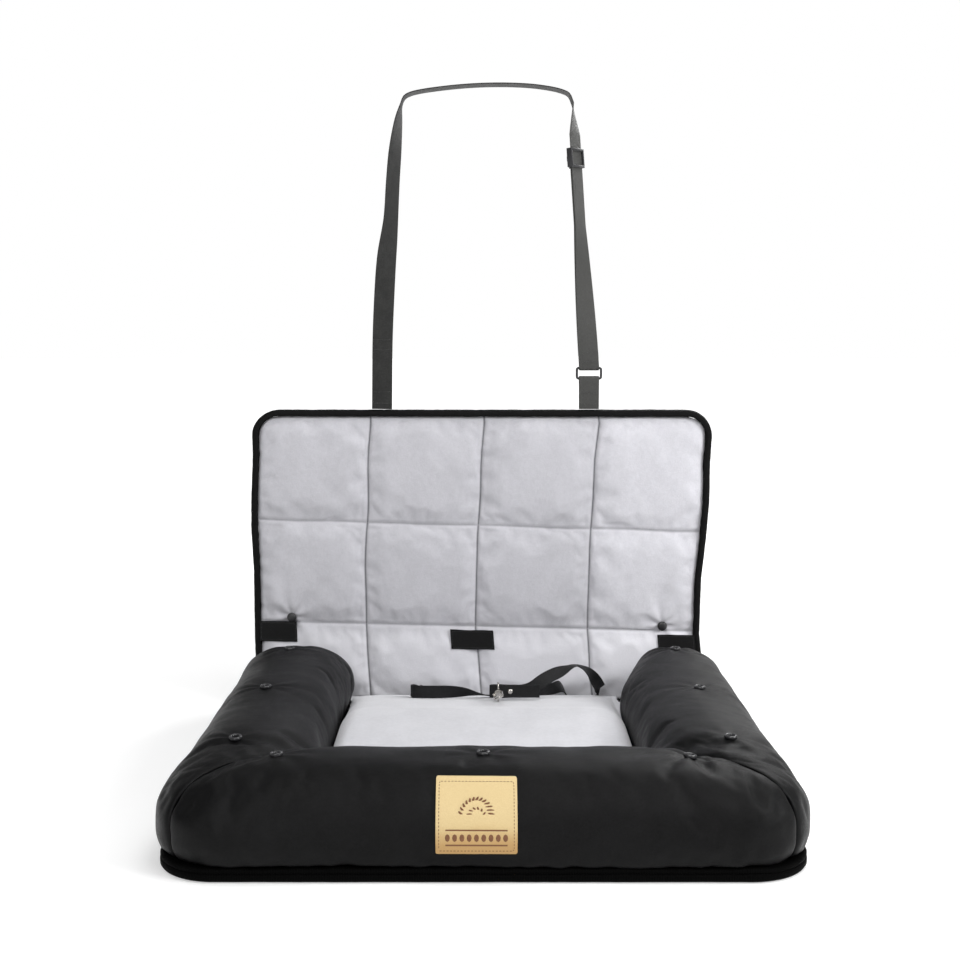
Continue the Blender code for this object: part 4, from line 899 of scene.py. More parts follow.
def bolster_folds(point):
    """How far the stuffed cover's folds stand out at a point."""
    foot = math.exp(-max(0.0, point.z - FOOT_Z) / 0.011)
    depth = 0.0022 * wave(point, 0.085) + 0.0009 * wave(point, 0.034, 0.034, 0.05, 3.1)
    depth += 0.0016 * foot * wave(point, 0.014, 0.014, 0.08, 7.7)
    depth += 0.0007 * math.exp(-max(0.0, point.z - FOOT_Z) / 0.03) * wave(point, 0.024, 0.024, 0.09, 1.3)
    mitre = from_mitre_seam(point)
    if point.y < FRONT_Y + BOLSTER_WIDTH + 0.02:
        run = Vector(((abs(point.x) - point.y) / math.sqrt(2), mitre, point.z))
        depth += 0.0016 * bump(mitre, 0.028) * wave(run, 0.013, 0.06, 0.02, 5.0)
        depth -= 0.0013 * bump(mitre, 0.0022)
    if point.z > BULGE_Z:
        for name, (x, y) in EYELETS.items():
            away = math.sqrt((point.x - x) ** 2 + (point.y - y) ** 2 + (point.z - CREST_Z) ** 2)
            if away < 0.09:
                angle = math.atan2(point.y - y, point.x - x)
                turn = math.sin(angle * 7 + x * 40 + 1.3 * math.sin(angle * 2 + y * 30))
                depth += 0.0008 * FOLDS_AT.get(name, 0.6) * rays_from(away, turn, 0.017)
                depth -= 0.0010 * bump(away, 0.012)
    return depth


SATIN_CLOTH = cloth_finish("black_satin_cloth", (0.0026, 0.0026, 0.0028), 0.42, 0.0008, 0.12, 0.55)


def held_down(point):
    """The covers are held at their feet, in the mitre seams and at their rear ends."""
    if point.z < FOOT_Z + 0.002 or point.y > REAR_Y - 0.012:
        return True
    return from_mitre_seam(point) < 0.004 and point.y < FRONT_Y + BOLSTER_WIDTH + 0.01


def make_bolster(side, stations):
    """Stations are (u, side, inset, share)."""
    rings = [section_at(*station) for station in stations]
    down_it = lengths([ring[20] for ring in rings])
    bm = ringed(rings, down_it)
    for vert in bm.verts:
        if not held_down(vert.co):
            vert.co += vert.normal * 0.0004 * noise.noise(vert.co / 0.01)
    name = f"{side}_bolster"
    piece = add_piece(name, bm, SATIN_CLOTH, "bed", "black_fabric", [f"{name}_cover", f"{name}_filling"], 180)
    filled_with_air(piece, held_down, 3.5, 0.012, 0.004)
    subdivided(piece)
    folded(piece, bolster_folds)
    return piece


CLOSING = (0.0, 0.25, 0.5, 0.75, 0.9, 0.97)
SWELL_ROOM = 0.0012  # the covers start this far inside, and their filling pushes them out


def side_stations(side):
    ends = [(0.0, side, SWELL_ROOM, share) for share in CLOSING]
    run = [(k, side, SWELL_ROOM, 1.0) for k in np.linspace(0.006, 1, 96)]
    corner = [(k, side, SWELL_ROOM, 1.0) for k in np.linspace(1, 1.5, 13)[1:]]
    return ends + run + corner + [(1.5, side, SWELL_ROOM, share) for share in CLOSING[::-1]]


def front_stations():
    corner = [(k, 1, SWELL_ROOM, 1.0) for k in np.linspace(1.5, 2, 13)[:-1]]
    run = [(k, 1, SWELL_ROOM, 1.0) for k in np.linspace(2, 3, 45)[:-1]]
    closing = [(1.5, 1, SWELL_ROOM, share) for share in CLOSING]
    right = closing + corner + run
    return right + [(3, 1, SWELL_ROOM, 1.0)] + [(u, -1, inset, share) for u, _, inset, share in right[::-1]]


bolsters = {
    side: make_bolster(side, stations)
    for side, stations in (("right", side_stations(1)), ("left", side_stations(-1)), ("front", front_stations()))
}


# Eyelets: nine rings of black-painted metal along the crests. Each is pressed through the cover from above, as
# a rolled rim that bites into the cloth, with a disc of dark cloth in its hole as painted shade.


def tree_of(*pieces):
    """The surfaces of finished pieces, for laying others on them."""
    bm = bmesh.new()
    for piece in pieces:
        bm.from_mesh(piece.data)
    return BVHTree.FromBMesh(bm)


def plastic_finish(name, color, rough):
    finish = Finish(name, color, rough, Coat_Roughness=0.3)
    dimples = finish.noise(finish.place(), 0.0008, 2.0)
    wear = finish.noise(finish.place(), 0.006, 4.0)
    finish.set("Base Color", finish.mixed(wear, color, [c * 2.6 for c in color]))
    finish.set("Roughness", wear * 0.25 + (rough - 0.1))
    finish.raised(dimples, 0.00004)
    return finish


def arc(centre, radius, start, stop, steps):
    """Points of a profile round a centre, from one angle in degrees to another."""
    angles = [math.radians(start + (stop - start) * k / steps) for k in range(steps + 1)]
    return [(centre[0] + radius * math.cos(a), centre[1] + radius * math.sin(a)) for a in angles]


PAINTED_RING = plastic_finish("black_painted_ring", (0.014, 0.014, 0.015), 0.16)


def make_eyelets():
    """Each rim sits halfway between the mean and the top of the cloth round it, and leans with the cloth."""
    cloth, down = tree_of(*bolsters.values()), Vector((0, 0, -1))
    outer, roll, above, spots = 0.006, 0.00150, 0.2, 12
    profile = arc((0.00475, 0.0), roll, 200, -20, 10)
    profile += [(0.0062, -0.0010), (0.0052, -0.0011), (0.0036, -0.0022), (0.0030, -0.0020)]
    # a solid dark disc in the hole, painted shade
    shade_disc = [(0, -0.0006), (0.0031, -0.0006), (0.0031, -0.0016), (0, -0.0016)]
    for name, (x, y) in EYELETS.items():
        place, normal, _, _ = cloth.ray_cast(Vector((x, y, above)), down)
        if place is None:
            place, normal = Vector((x, y, CREST_Z)), UP
        around_it = []
        for k in range(spots):
            angle = k * math.pi / 6
            hit = cloth.ray_cast(Vector((x + outer * math.cos(angle), y + outer * math.sin(angle), above)), down)[0]
            around_it.append(hit.z if hit else place.z)
        seat = Vector((x, y, (sum(around_it) / spots + max(around_it)) / 2 + 0.0010))
        tilt = Vector((normal.x, normal.y, normal.z + 1.5)).to_track_quat("Z", "Y").to_matrix().to_4x4()
        at = Matrix.Translation(seat) @ tilt
        rim, hole_shade = lathed(profile, 28, at), lathed(shade_disc, 20, at)
        add_piece("eyelet_ring_" + name, rim, PAINTED_RING, "bed", "black_plastic", ["eyelet_" + name], 60)
        add_piece("eyelet_hole_shade_" + name, hole_shade, MAT_CLOTH, "bed", "black_fabric")


make_eyelets()


# Cushion: a plush-covered pad stuffed with fibre, sewn to the mat along its lower edge inside the bolsters.
# Its crown is soft and uneven, and its corners draw in.


def plush_finish(name, color, nap=0.5, seamed=False):
    """Short plush: a fine pile, a nap brushed this way and that, and a pale bloom at grazing angles.

    On quilted plush the seams are darkened with painted shade, and the pile of the lowest row stands up and is painted
    paler, as a painted sheen."""
    finish = Finish(name, color, 0.95, Sheen_Weight=0.5, Sheen_Roughness=0.6, Specular_IOR_Level=0.25)
    place = finish.place()
    pile = finish.noise(place, 0.0011, 2.0, 0.7)
    tufts = finish.noise(place, 0.0045, 3.0, 0.6)
    brushed = finish.noise(finish.stretched(place, (1.0, 1.0, 0.45)), 0.035, 4.0, 0.6)
    share = finish.ranged(pile * 0.3 + tufts * 0.3 + brushed * nap, 0.35, 0.75)
    tone = finish.mixed(share, [c * 0.90 for c in color], [min(1.0, c * 1.06) for c in color])
    if seamed:
        # painted sheen: the lowest row, below the fold, is painted paler
        painted_sheen_low_row = finish.ranged(finish.along(place, 2), 0.110, 0.085)
        tone = finish.mixed(painted_sheen_low_row * 0.60, tone, (0.90, 0.895, 0.94))
        # painted shade along the quilting seams, read from the quilt's "seam" attribute
        painted_seam_shade = finish.add("ShaderNodeAttribute", {"attribute_name": "seam"}, output="Fac")
        tone = finish.mixed(painted_seam_shade, tone, (0.050, 0.048, 0.057))
    finish.set("Base Color", tone)
    finish.raised(pile * 0.5 + tufts * 0.5, 0.0009, 0.55)
    return finish


PALE_PLUSH = plush_finish("pale_plush", (0.565, 0.565, 0.597))
CUSHION_FOOT_Z = 0.0103
LEFT_DRAW = 0.6
RIGHT_DRAW = 0.35


def eased(share):
    """A share from 0 to 1 that leaves and arrives gently."""
    return share * share * (3 - 2 * share)


def plush_top(x, y):
    """The cushion's top: as high as the tether's rest, but full right up to the bolsters.

    Its rear corners are drawn in, the left one more than the right one."""
    across = min(1.0, abs(x) / (CUSHION_HALF_X + 0.0070))
    along = min(1.0, abs(y - CUSHION_Y) / CUSHION_HALF_Y)
    corner = (LEFT_DRAW if x < 0 else RIGHT_DRAW) * across**5 * along**2 if y > CUSHION_Y else 0.0
    return CUSHION_EDGE_Z + CUSHION_RISE * (1 - corner) * (1 - along**1.6) * math.sqrt(1 - across**14)


def side_room(y):
    """How much wider the cushion lies where the right bolster is slimmer."""
    most, fades_out, over = 0.011, 0.235, 0.05
    recess = 0.07 * (1 - slimmed((y - REAR_Y) / (FRONT_Y + OUTER_RADIUS - REAR_Y), 1)) if y > 0 else 0.0
    return min(most, recess) * min(1.0, max(0.0, (fades_out - y) / over))


def pushed_out(piece):
    """The filling pushes the cushion's sides out against the bolsters, further the nearer they are to the edge."""
    walls, own = tree_of(bolsters["left"], bolsters["right"]), tree_of(piece)
    steady, grows_over, furthest, gaps = 0.095, 0.05, 0.016, {}
    for vert in piece.data.vertices:
        x, y, z = vert.co
        if abs(x) < steady or z < CUSHION_FOOT_Z + 0.003:
            continue
        outward = Vector((math.copysign(1, x), 0, 0))
        key = (outward.x, round(y, 3))
        if key not in gaps:
            level = min(0.034, plush_top(x, y) - 0.006)
            wall = walls.ray_cast(Vector((0, y, level)), outward)[0]
            side = own.ray_cast(Vector((outward.x * 0.4, y, level)), -outward)[0]
            gaps[key] = min(furthest, max(0.0, abs(wall.x) - abs(side.x) - 0.0006)) if wall and side else 0.0
        wall = walls.ray_cast(Vector((0, y, z)), outward)[0]
        most = abs(wall.x) - 0.0005 if wall else 1.0
        vert.co.x = outward.x * min(abs(x) + gaps[key] * eased(min(1.0, (abs(x) - steady) / grows_over)), most)
    piece.data.update()


def listed_by_place(bm):
    """The same mesh with its points and faces listed by where they lie.

    Extruding lists them differently each run, and cloth simulated on them would then settle differently too."""
    points = sorted(bm.verts, key=lambda vert: tuple(vert.co))
    rank = {vert: k for k, vert in enumerate(points)}
    faces = []
    for face in bm.faces:
        around = [rank[vert] for vert in face.verts]
        first = around.index(min(around))
        faces.append(around[first:] + around[:first])
    listed = bmesh.new()
    made = [listed.verts.new(vert.co) for vert in points]
    for around in sorted(faces):
        listed.faces.new([made[k] for k in around])
    bm.free()
    return listed


def make_cushion():
    """The crown as a grid drawn in at its corners, with its rim carried down to the mat and closed."""
    bm = bmesh.new()
    bmesh.ops.create_grid(bm, x_segments=64, y_segments=80, size=1.0)
    for vert in bm.verts:
        a, b = math.sin(vert.co.x * math.pi / 2), math.sin(vert.co.y * math.pi / 2)
        x = a * math.sqrt(1 - 0.04 * b * b) * (CUSHION_HALF_X + 0.0015)
        y = b * math.sqrt(1 - 0.06 * a * a) * (CUSHION_HALF_Y - 0.001) + CUSHION_Y
        z = plush_top(x, y) - 0.0012
        vert.co = Vector((x + max(0.0, a) * side_room(y), y, z))
    under = bmesh.ops.duplicate(bm, geom=[*bm.verts, *bm.edges, *bm.faces])["geom"]
    rim = [edge for edge in bm.edges if edge.is_boundary and edge not in under]
    rim = bmesh.ops.extrude_edge_only(bm, edges=rim)["geom"]
    for item in [*under, *rim]:
        if isinstance(item, bmesh.types.BMVert):
            item.co.z = CUSHION_FOOT_Z
    bmesh.ops.remove_doubles(bm, verts=bm.verts, dist=SEAM_WELD)
    bmesh.ops.recalc_face_normals(bm, faces=bm.faces)
    nodes = ["cushion_cover", "cushion_filling"]
    piece = add_piece("cushion", listed_by_place(bm), PALE_PLUSH, "bed", "pale_plush", nodes, 180)
    filled_with_air(piece, lambda p: p.z < 0.0195, 2.5, 0.04, 0.0035)
    pushed_out(piece)
    subdivided(piece)
    folded(piece, lambda p: 0.0010 * wave(p, 0.06) + 0.0008 * wave(p, 0.022, seed=2.0) if p.z > 0.02 else 0.0)
    clear, free_rise, tether_from, tether_to = 0.0002, 0.0038, 0.045, 0.090
    for vert in piece.data.vertices:  # the tether lies on the rear half and holds it down
        under_tether = eased(min(1.0, max(0.0, (vert.co.y - tether_from) / (tether_to - tether_from))))
        vert.co.z = min(vert.co.z, plush_top(vert.co.x, vert.co.y) + clear + free_rise * (1 - under_tether))
    piece.data.update()


make_cushion()


# Back panel: plush quilted onto wadding in four columns, one piece of cloth across the fold at its lowest seam.
# The seams pull in deep, with puckers along them and soft creases running from their crossings.

FOLD_Z = 0.103
PANEL_HALF = 0.2875
PANEL_BACK_Y = 0.2838
PANEL_TOP_Z = 0.377
QUILT_HALF = 0.2792
SIDE_SEAM = 0.1415
SEAMS_X = (-QUILT_HALF, -SIDE_SEAM, 0.0, SIDE_SEAM, QUILT_HALF)
SEAMS_Z = (0.0083, FOLD_Z, 0.2316, 0.3687)
QUILT_CORNER = 0.0267
LEVEL_SEED = 9.0
SNAP_X = 0.238
SNAP_Z = 0.1115
GREY_PLUSH = plush_finish("grey_plush", (0.62, 0.615, 0.655), seamed=True)

# The panel hangs a little askew: how far its cloth has moved aside, a row for each height and a column for each
# upright seam or edge, and how far the right edge has dropped and the left one risen.
SAG_X = (-PANEL_HALF, -SIDE_SEAM, 0.0, SIDE_SEAM, PANEL_HALF)
SAG_Z = (0.0, 0.050, 0.100, 0.170, 0.219, 0.267, 0.316, 0.360, 0.377)
SAG_ASIDE = (
    (0.0, 0.0, 0.0, 0.0, 0.0),
    (-0.0005, -0.0030, -0.0040, -0.0050, -0.0080),
    (-0.0007, -0.0054, -0.0080, -0.0080, -0.0127),
    (-0.0007, -0.0054, -0.0080, -0.0080, -0.0115),
    (-0.0030, -0.0045, -0.0060, -0.0060, -0.0065),
    (-0.0020, -0.0020, -0.0030, -0.0030, -0.0028),
    (0.0005, 0.0, 0.0, -0.0010, -0.0028),
    (0.0, 0.0020, 0.0020, 0.0040, 0.0),
    (0.0, 0.0010, 0.0010, 0.0020, 0.0),
)
SAG_TILT = (0.0, 0.0035, 0.0064, 0.0075, 0.0081, 0.0065, 0.0035, 0.0008, 0.0)


def sagged(places):
    """The same points, as an array of rows, after the panel has sagged."""
    x, z = places[:, 0], places[:, 2]
    shifts = np.array([np.interp(z, SAG_Z, column) for column in zip(*SAG_ASIDE)])
    left = np.clip(np.searchsorted(SAG_X, x) - 1, 0, 3)
    starts, ends = np.array(SAG_X)[left], np.array(SAG_X)[left + 1]
    share, each = (x - starts) / (ends - starts), np.arange(len(x))
    moved = places.copy()
    moved[:, 0] += shifts[left, each] * (1 - share) + shifts[left + 1, each] * share
    moved[:, 2] -= x / 0.28 * np.interp(z, SAG_Z, SAG_TILT)
    return moved


def crowded(count):
    """Shares from 0 to 1 that lie closer together at both ends."""
    even = np.linspace(0, 1, count + 1)[:-1]
    return [0.55 * t + 0.45 * (1 - math.cos(math.pi * t)) / 2 for t in even]


def cell_stations(seams, counts):
    places = []
    for low, high, count in zip(seams, seams[1:], counts):
        places += [low + (high - low) * share for share in crowded(count)]
    return [*places, seams[-1]]


def swelling(value, seams):
    """How far a cell has swelled at a place between its two seams, from 0 to 1."""
    low = max(seam for seam in seams[:-1] if seam <= value + 1e-9)
    high = seams[seams.index(low) + 1]
    share = min(1.0, max(0.0, (value - low) / (high - low)))
    return (4 * share * (1 - share)) ** 0.3


def cell_swelling(x, z):
    return swelling(x, SEAMS_X) * swelling(z, SEAMS_Z)


def seam_shift(z, x):
    """Quilting seams wander a little from the straight. A level seam's height comes with LEVEL_SEED added."""
    return 0.0018 * wave(Vector((x, 0, z)), 0.07, seed=4.0)


def quilt_place(x, z):
    """Where a point of the flat cloth lies once it is sewn, before the wadding fills the cells."""
    seam_depth, straight_near_fold = 0.0072, 0.02
    above = max(0.0, z - (SEAMS_Z[-1] - QUILT_CORNER))
    drawn_in = QUILT_CORNER - math.sqrt(max(0.0, QUILT_CORNER**2 - above**2))
    outward = max(0.0, abs(x) - SIDE_SEAM) / (QUILT_HALF - SIDE_SEAM)
    inside = swelling(x, (-QUILT_HALF, QUILT_HALF)) * swelling(z, (SEAMS_Z[0], SEAMS_Z[-1]))
    moved_x = x - math.copysign(drawn_in * outward, x) + seam_shift(z, x) * inside
    moved_z = z + seam_shift(x, z + LEVEL_SEED) * inside * min(1.0, abs(z - FOLD_Z) / straight_near_fold)
    return Vector((moved_x, PANEL_FRONT_Y + 0.0006 + seam_depth * (1 - cell_swelling(x, z)), moved_z))


def panel_grid(counts_across, counts_up, place):
    """A grid over the panel, closer near its seams, whose points go to place(x, z)."""
    columns, rows = cell_stations(SEAMS_X, counts_across), cell_stations(SEAMS_Z, counts_up)
    bm, uv = cloth_grid(len(columns) - 1, len(rows) - 1)
    for vert in bm.verts:
        row, column = divmod(vert.index, len(columns))
        vert.co = place(columns[column], rows[row])
    lay_flat(bm, uv, 0, 2)
    return bm


def turn_faces(bm, side):
    """Turns the faces towards the front, side -1, or the rear, side 1."""
    bmesh.ops.reverse_faces(bm, faces=[f for f in bm.faces if f.normal.y * side < 0])


def near_seam(point):
    """The distance to the nearest upright seam and to the nearest level one."""
    return min(abs(point.x - s) for s in SEAMS_X), min(abs(point.z - s) for s in SEAMS_Z)


def painted_seam_shade(point):
    """Painted shade in a seam: strong in the stitched line of an upright one, with a soft painted shadow to its right,
    faint in a level one.
    """
    shade = 0.0
    for x in SEAMS_X[1:-1]:
        off = point.x - x - seam_shift(point.z, x)
        shade = max(shade, 0.95 * bump(off, 0.0012), 0.16 * bump(max(0, off), 0.006))
    for z in SEAMS_Z[1:-1]:
        off = point.z - z - (0.0 if z == FOLD_Z else seam_shift(point.x, z + LEVEL_SEED))
        shade = max(shade, 0.42 * bump(off, 0.0015))
    return shade


def quilt_folds(point):
    """Puckers across each seam, long creases from the seams' crossings, and rays round the two snaps."""
    off_x, off_z = near_seam(point)
    depth = 0.0011 * math.exp(-off_x / 0.007) * wave(point, 0.03, 1, 0.009, 1.0)
    depth += 0.0009 * math.exp(-off_z / 0.007) * wave(point, 0.009, 1, 0.03, 6.0)
    turned = Vector(((point.x + point.z) * 0.707, 0, (point.x - point.z) * 0.707))
    other = Vector(((point.x - point.z) * 0.707, 0, (point.x + point.z) * 0.707))
    inside = min(1.0, off_x / 0.02) * min(1.0, off_z / 0.02)
    depth += 0.0016 * inside * wave(turned, 0.085, 1, 0.019, 2.0)
    depth += 0.0012 * inside * wave(other, 0.11, 1, 0.024, 8.0)
    depth += 0.0012 * inside * wave(point, 0.05, 1, 0.06, 12.0)
    for x in (-SNAP_X, SNAP_X):
        away = math.hypot(point.x - x, point.z - SNAP_Z)
        angle = math.atan2(point.z - SNAP_Z, point.x - x)
        if away < 0.07:
            depth += 0.0013 * rays_from(away, math.sin(angle * 6 + x), 0.016)
            depth -= 0.0012 * bump(away, 0.009)
    return depth


PATCHES = (
    ("left", -0.2800, -0.2315, 0.0800),
    ("middle", -0.0335, 0.0215, 0.0743),
    ("right", 0.2315, 0.2800, 0.0740),
)
PATCH_HEIGHT = 0.0246


def under_patch(point):
    """1 where a fastener patch holds the plush flat, easing to 0 within a short way of it."""
    held, eases_over = 0.0, 0.009
    for _, x0, x1, low in PATCHES:
        off_x = max(x0 - point.x, point.x - x1, 0.0)
        off_z = max(low - point.z, point.z - low - PATCH_HEIGHT, 0.0)
        held = max(held, 1 - math.hypot(off_x, off_z) / eases_over)
    return eased(held)


def make_quilt():
    """The cloth swells between its seams, lies flat under the patches, and turns back round the panel's edge."""
    sewn_within = 0.0025
    bm = panel_grid((34, 36, 36, 34), (24, 34, 36), quilt_place)
    turn_faces(bm, -1)
    bm.normal_update()
    piece = add_piece("panel_quilt", bm, GREY_PLUSH, None, "grey_plush", ["upper_quilt", "lower_quilt"], 180)
    filled_with_air(piece, lambda point: min(near_seam(point)) < sewn_within, 1.0, 0.012, 0.0022)
    subdivided(piece)
    folded(piece, quilt_folds)
    proud, pressed_in = 0.0010, 0.0016
    for vert in piece.data.vertices:
        vert.co.y = max(vert.co.y, PANEL_FRONT_Y - proud + pressed_in * under_patch(vert.co))
    bm = bmesh.new()
    bm.from_mesh(piece.data)
    rim = [edge for edge in bm.edges if edge.is_boundary]
    grown = bmesh.ops.extrude_edge_only(bm, edges=rim)["geom"]
    for item in grown:
        if isinstance(item, bmesh.types.BMVert):
            item.co.y = PANEL_BACK_Y - 0.0022
    bm.to_mesh(piece.data)
    bm.free()
    # The "seam" attribute holds painted shade in the seams, and a painted shadow to the right of the upright ones.
    seam = piece.data.attributes.new("seam", "FLOAT", "POINT")
    seam.data.foreach_set("value", [painted_seam_shade(vert.co) for vert in piece.data.vertices])
    return piece


def bend_at_fold(piece):
    """Cloth that crosses the fold sags with the panel."""
    places = np.zeros(len(piece.data.vertices) * 3)
    piece.data.vertices.foreach_get("co", places)
    piece.data.vertices.foreach_set("co", sagged(places.reshape(-1, 3)).ravel())
    piece.data.update()
    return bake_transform(piece)


panel_quilt = make_quilt()
quilt_tree = tree_of(panel_quilt)
bend_at_fold(panel_quilt)


# Panel backing: a dark grey coated cloth on the panel's rear. The same quilting seams hold it, so it swells a
# little between them too.


def make_backing():
    finish = cloth_finish("grey_backing_cloth", (0.060, 0.060, 0.065), 0.75, 0.0009, 0.3, 0.2)

    def place(x, z):
        sewn = quilt_place(x, z)
        puff = 0.0030 * cell_swelling(x, z) + 0.0004 * wave(sewn, 0.02)
        return Vector((sewn.x, PANEL_BACK_Y - 0.0018 + puff, sewn.z))

    bm = panel_grid((18, 18, 18, 18), (16, 18, 18), place)
    turn_faces(bm, 1)
    thickened(bm, 0.0008)
    piece = add_piece("panel_backing", bm, finish, None, "grey_backing", ["upper_backing", "lower_backing"], 180)
    surface = tree_of(piece)
    bend_at_fold(piece)
    return surface


backing_tree = make_backing()


# Panel binding: bias-cut tape folded over the panel's edge and sewn down all round, so its inner edge is drawn
# in at each stitch. It wanders a little and sags with the panel.


def panel_outline(inset, step):
    """Points of the panel's outline, anticlockwise from the lower right as seen from the front."""
    half, low, high = PANEL_HALF - inset, 0.0008 + inset, PANEL_TOP_Z - inset
    top, foot = 0.035 - inset, 0.006 - inset * 0.5
    points = []
    for x, z, radius, start in (
        (half - foot, low + foot, foot, -90),
        (half - top, high - top, top, 0),
        (top - half, high - top, top, 90),
        (foot - half, low + foot, foot, 180),
    ):
        turns = max(3, math.ceil(radius * math.pi / 2 / step))
        for k in range(turns + 1):
            angle = math.radians(start + 90 * k / turns)
            points.append(Vector((x + radius * math.cos(angle), 0, z + radius * math.sin(angle))))
    filled = []
    for a, b in zip(points, [*points[1:], points[0]]):
        steps = max(1, round((b - a).length / step))
        filled += [a.lerp(b, k / steps) for k in range(steps)]
    return filled


def make_panel_binding():
    points = panel_outline(0, 0.0022)
    middle_y, half, stitch, inner_edge = (PANEL_FRONT_Y + PANEL_BACK_Y) / 2, 0.0075, 0.0038, 0.0072
    frames = []
    for k, at in enumerate(points):
        along = (points[(k + 1) % len(points)] - points[k - 1]).normalized()
        outward = Vector((along.z, 0, -along.x))
        if outward.dot(at - Vector((0, 0, 0.19))) < 0:
            outward = -outward
        wander = 0.0006 * noise.noise(at / 0.02) + 0.0005 * noise.noise(at / 0.006)
        frames.append((at + Vector((0, middle_y, 0)) + outward * wander * 0.5, -outward, BACKWARD))
    front = [(0.0004, -half * 0.45), (0.0012, -half * 0.8), (0.0027, -half * 1.02), (0.0048, -half * 1.06)]
    front += [(0.0066, -half * 1.03), (0.0076, -half * 1.0), (0.0083, -half * 0.88)]
    section = front + [(a, -b) for a, b in front[::-1]] + [(0.0, half * 0.15), (0.0, -half * 0.15)]
    bm = swept(frames, section, looped=True)
    scallop = 2 * math.pi / stitch
    for vert in bm.verts:
        inner = min(PANEL_HALF - abs(vert.co.x), PANEL_TOP_Z - vert.co.z, vert.co.z)
        if inner > inner_edge:
            along = vert.co.x + vert.co.z
            vert.co.y -= math.copysign(0.0002, vert.co.y - middle_y) * math.sin(along * scallop)
    nodes = ["upper_binding", "lower_binding"]
    bend_at_fold(add_piece("panel_edge_tape", bm, BINDING_TAPE, None, "black_binding", nodes, 50))


make_panel_binding()


# Stitching: polyester thread in the quilting seams, laid in real stitches that are half sunk in the cloth. The
# same stitches, in other threads, sew the patches, the label and the strap further on.


def paced(points, pitch):
    """Points a stitch apart along a line."""
    along = lengths(points)
    spots = np.arange(0, along[-1], pitch)
    return [Vector([np.interp(s, along, [p[k] for p in points]) for k in range(3)]) for s in spots]


def stitched(lines, pitch, thickness, outward):
    """Short rounded stitches along lines of points. outward(point) is the way the cloth faces."""
    bm = bmesh.new()
    for points in lines:
        spots = paced(points, pitch)
        for start, end in zip(spots, spots[1:]):
            along = (end - start) * 0.40
            face = outward(start)
            side = along.cross(face).normalized()
            up = side.cross(along).normalized()
            axes = Matrix((along, side * thickness, up * thickness * 0.8)).transposed().to_4x4()
            at = Matrix.Translation((start + end) / 2) @ axes
            bmesh.ops.create_icosphere(bm, subdivisions=1, radius=1.0, matrix=at)
    return bm


def thread_finish(name, color):
    finish = Finish(name, color, 0.6, Sheen_Weight=0.3)
    fibres = finish.noise(finish.place(), 0.0005, 2.0)
    finish.set("Base Color", finish.mixed(fibres, [c * 0.7 for c in color], [min(1, c * 1.3) for c in color]))
    finish.raised(fibres, 0.0001)
    return finish


# The grey thread is painted shade in the upright quilting seams, and plain grey thread on the backing.
GREY_THREAD_AND_SEAM_SHADE = thread_finish("grey_thread_and_seam_shade", (0.13, 0.126, 0.145))
PALE_THREAD = thread_finish("pale_thread", (0.38, 0.375, 0.41))
BLACK_THREAD = thread_finish("black_thread", (0.012, 0.012, 0.012))
THREAD_OUT = 0.0001
QUILT_RAY_Y = 0.2


def seen_in(surface, x, z, start_y, way=BACKWARD):
    """Where a ray along Y meets a surface, or nothing."""
    return surface.ray_cast(Vector((x, start_y, z)), way)[0]


def on_quilt(x, z):
    hit = seen_in(quilt_tree, x, z, QUILT_RAY_Y)
    y = hit.y if hit else PANEL_FRONT_Y + 0.006
    return Vector((x, y - THREAD_OUT, z))


def on_backing(x, z):
    hit = seen_in(backing_tree, x, z, 0.4, FORWARD)
    return Vector((x, (hit.y if hit else PANEL_BACK_Y) + THREAD_OUT, z))


def seam_lines(laid_on):
    """The upright and the level quilting seams, laid on the quilt or on the backing."""
    upright, level, drawn = [], [], 0.9
    for x in SEAMS_X[1:-1]:
        heights = np.linspace(0.012, 0.366, 240)
        upright.append([laid_on(x + seam_shift(z, x) * drawn, z) for z in heights])
    for z in SEAMS_Z[1:-1]:
        widths = np.linspace(-0.276, 0.276, 300)
        still = 0.0 if z == FOLD_Z else drawn
        level.append([laid_on(x, z + seam_shift(x, z + LEVEL_SEED) * still) for x in widths])
    return upright, level


def make_quilting_thread():
    """The thread in the upright seams is darkened as painted shade, and the level ones have pale thread. The darker
    thread also shows on the backing, as plain grey thread.
    """
    upright, level = seam_lines(on_quilt)
    behind = [line for lines in seam_lines(on_backing) for line in lines]
    for name, lines, finish, facing, slot in (
        ("upright_quilting", upright, GREY_THREAD_AND_SEAM_SHADE, -1, "grey_plush"),
        ("level_quilting", level, PALE_THREAD, -1, "grey_plush"),
        ("rear_quilting", behind, GREY_THREAD_AND_SEAM_SHADE, 1, "grey_backing"),
    ):
        bm = stitched(lines, 0.0034, 0.00032, lambda p: Vector((0, facing, 0)))
        bend_at_fold(add_piece(name, bm, finish, None, slot))


make_quilting_thread()


# Fastener patches: hook-and-loop tape sewn under the fold, the side ones caught under the binding.
# Two moulded snap caps above them hold the plush down hard enough to crease it.


def tree_of_bmesh(bm):
    bm.normal_update()
    return BVHTree.FromBMesh(bm)


def line_on(surface, corners, steps, start_y):
    """Points along straight runs between (x, z) corners, laid on a surface's front."""
    laid = []
    for (xa, za), (xb, zb) in zip(corners, corners[1:]):
        for t in np.linspace(0, 1, steps):
            hit = seen_in(surface, xa + (xb - xa) * t, za + (zb - za) * t, start_y)
            if hit:
                laid.append(hit)
    return laid


